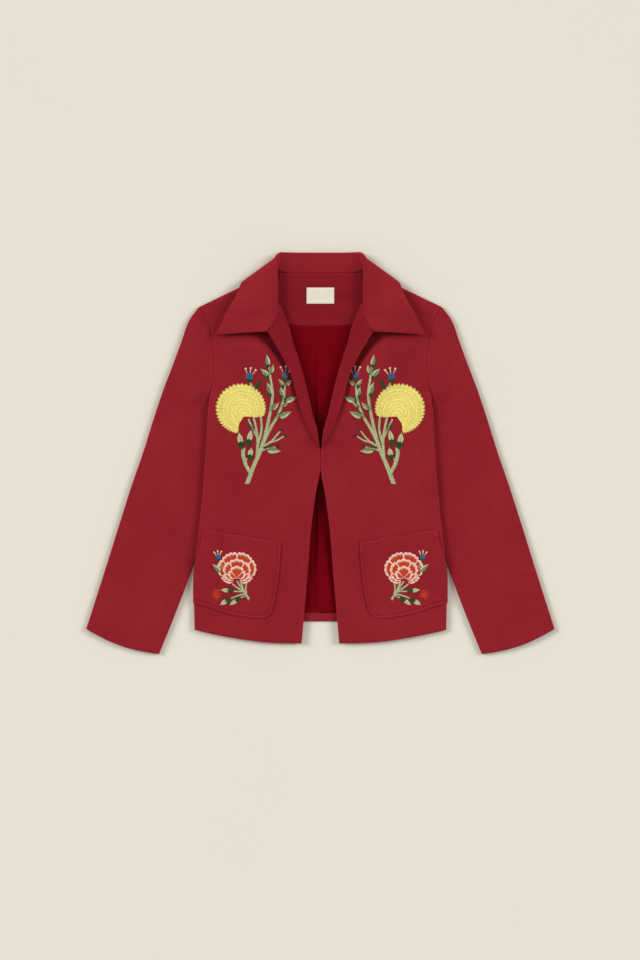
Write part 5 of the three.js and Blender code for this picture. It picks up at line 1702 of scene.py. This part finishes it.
def make_pocket_flower(side, word):
    threads = Threads(pocket_surface, FLOWER_SEED + side)
    for path, width, tip_width in POCKET_STEMS.values():
        stem(threads, path, width, tip_width)
    leaf(threads, *POCKET_LEAF)
    for base, tip, breadth in POCKET_BUDS:
        bud(threads, base, tip, breadth)
    thistle(threads, *POCKET_THISTLE)
    star(threads, STAR_PLACE, STAR_RADIUS, STAR_RAYS)
    carnation(threads, FLOWER_FOCUS, FLOWER_CENTRE, FLOWER_RADII)
    threads.make(f"embroidery_pocket_{word}", side)


# ---------------------------------------------------------------- floor, light and camera
VIEW_HEIGHT = 1.680  # the length of floor that the photograph's frame covers, in metres
VIEW_CENTRE = (-0.0007, -0.04725)
CAMERA_HEIGHT = 5.0
SENSOR_HEIGHT = 24.0
FLOOR_REACH, FLOOR_SINK = 6.0, 0.0002
LIGHT_COLOUR = (1.0, 0.99, 0.97)
# The world's brightness falls from low down, where soft lamps stand all round, to overhead.
LAMP_STRENGTH, OVERHEAD_STRENGTH = 0.64, 0.15
LAMPS_BELOW, DIM_ABOVE = 0.55, 0.95
# Broad lamps: where each is, how wide it looks in degrees, and its strength.
LAMPS = {
    "lamp_near": ((-1.0, 0.34, 0.54), 24, 2.0),
    "lamp_far": ((1.0, 0.30, 0.54), 24, 1.72),
}


def place_object(name, data):
    holder = bpy.data.objects.new(name, data)
    bpy.context.scene.collection.objects.link(holder)
    return holder


def make_floor():
    nodes = Nodes(bpy.data.materials.new("floor"))
    colour = nodes.blend_colour(nodes.noise(2.2, 2.0), srgb(232, 227, 213), srgb(236, 231, 218))
    nodes.shade(Base__Color=colour, Roughness=0.95)
    mesh = bpy.data.meshes.new("floor")
    corners = [(x * FLOOR_REACH, y * FLOOR_REACH, 0) for x, y in ((-1, -1), (1, -1), (1, 1), (-1, 1))]
    mesh.from_pydata(corners, [], [(0, 1, 2, 3)])
    mesh.materials.append(nodes.owner)
    floor = place_object("floor", mesh)
    floor.location.z = -FLOOR_SINK


def make_world():
    world = bpy.data.worlds.new("studio")
    bpy.context.scene.world = world
    nodes = Nodes(world, "Background")
    direction = nodes.node("ShaderNodeSeparateXYZ")
    nodes.join(nodes.node("ShaderNodeTexCoord").outputs["Generated"], direction.inputs[0])
    strength = nodes.spread(
        direction.outputs["Z"], LAMPS_BELOW, DIM_ABOVE, To__Min=LAMP_STRENGTH, To__Max=OVERHEAD_STRENGTH,
        _interpolation_type="SMOOTHSTEP")
    nodes.shade(Color=(*LIGHT_COLOUR, 1), Strength=strength)


def make_stage():
    make_floor()
    make_world()
    for name, (place, breadth, strength) in LAMPS.items():
        light = bpy.data.lights.new(name, "SUN")
        light.angle = math.radians(breadth)
        light.energy = strength
        light.color = LIGHT_COLOUR
        holder = place_object(name, light)
        holder.location = place
        holder.rotation_euler = (-Vector(place)).to_track_quat("-Z", "Y").to_euler()
    camera = bpy.data.cameras.new("camera")
    camera.sensor_fit = "VERTICAL"
    camera.sensor_height = SENSOR_HEIGHT
    camera.lens = SENSOR_HEIGHT * CAMERA_HEIGHT / VIEW_HEIGHT
    holder = place_object("camera", camera)
    holder.location = (*VIEW_CENTRE, CAMERA_HEIGHT)
    bpy.context.scene.camera = holder
    bpy.context.scene.view_settings.view_transform = "Standard"


# ---------------------------------------------------------------- everything
SIDES = [(1, "left"), (-1, "right")]


def make_jacket():
    make_back()
    make_back_facing()
    make_back_lining()
    make_label()
    make_label_stitches()
    for side, word in SIDES:
        make_front(side, word)
        make_facing(side, word)
        make_pocket(side, word)
        make_sleeve(side, word)
        make_armhole_allowance(side, word)
        make_pocket_stitches(side, word)
        make_spray(side, word)
        make_pocket_flower(side, word)
    make_collar()


make_materials()
make_stage()
make_jacket()
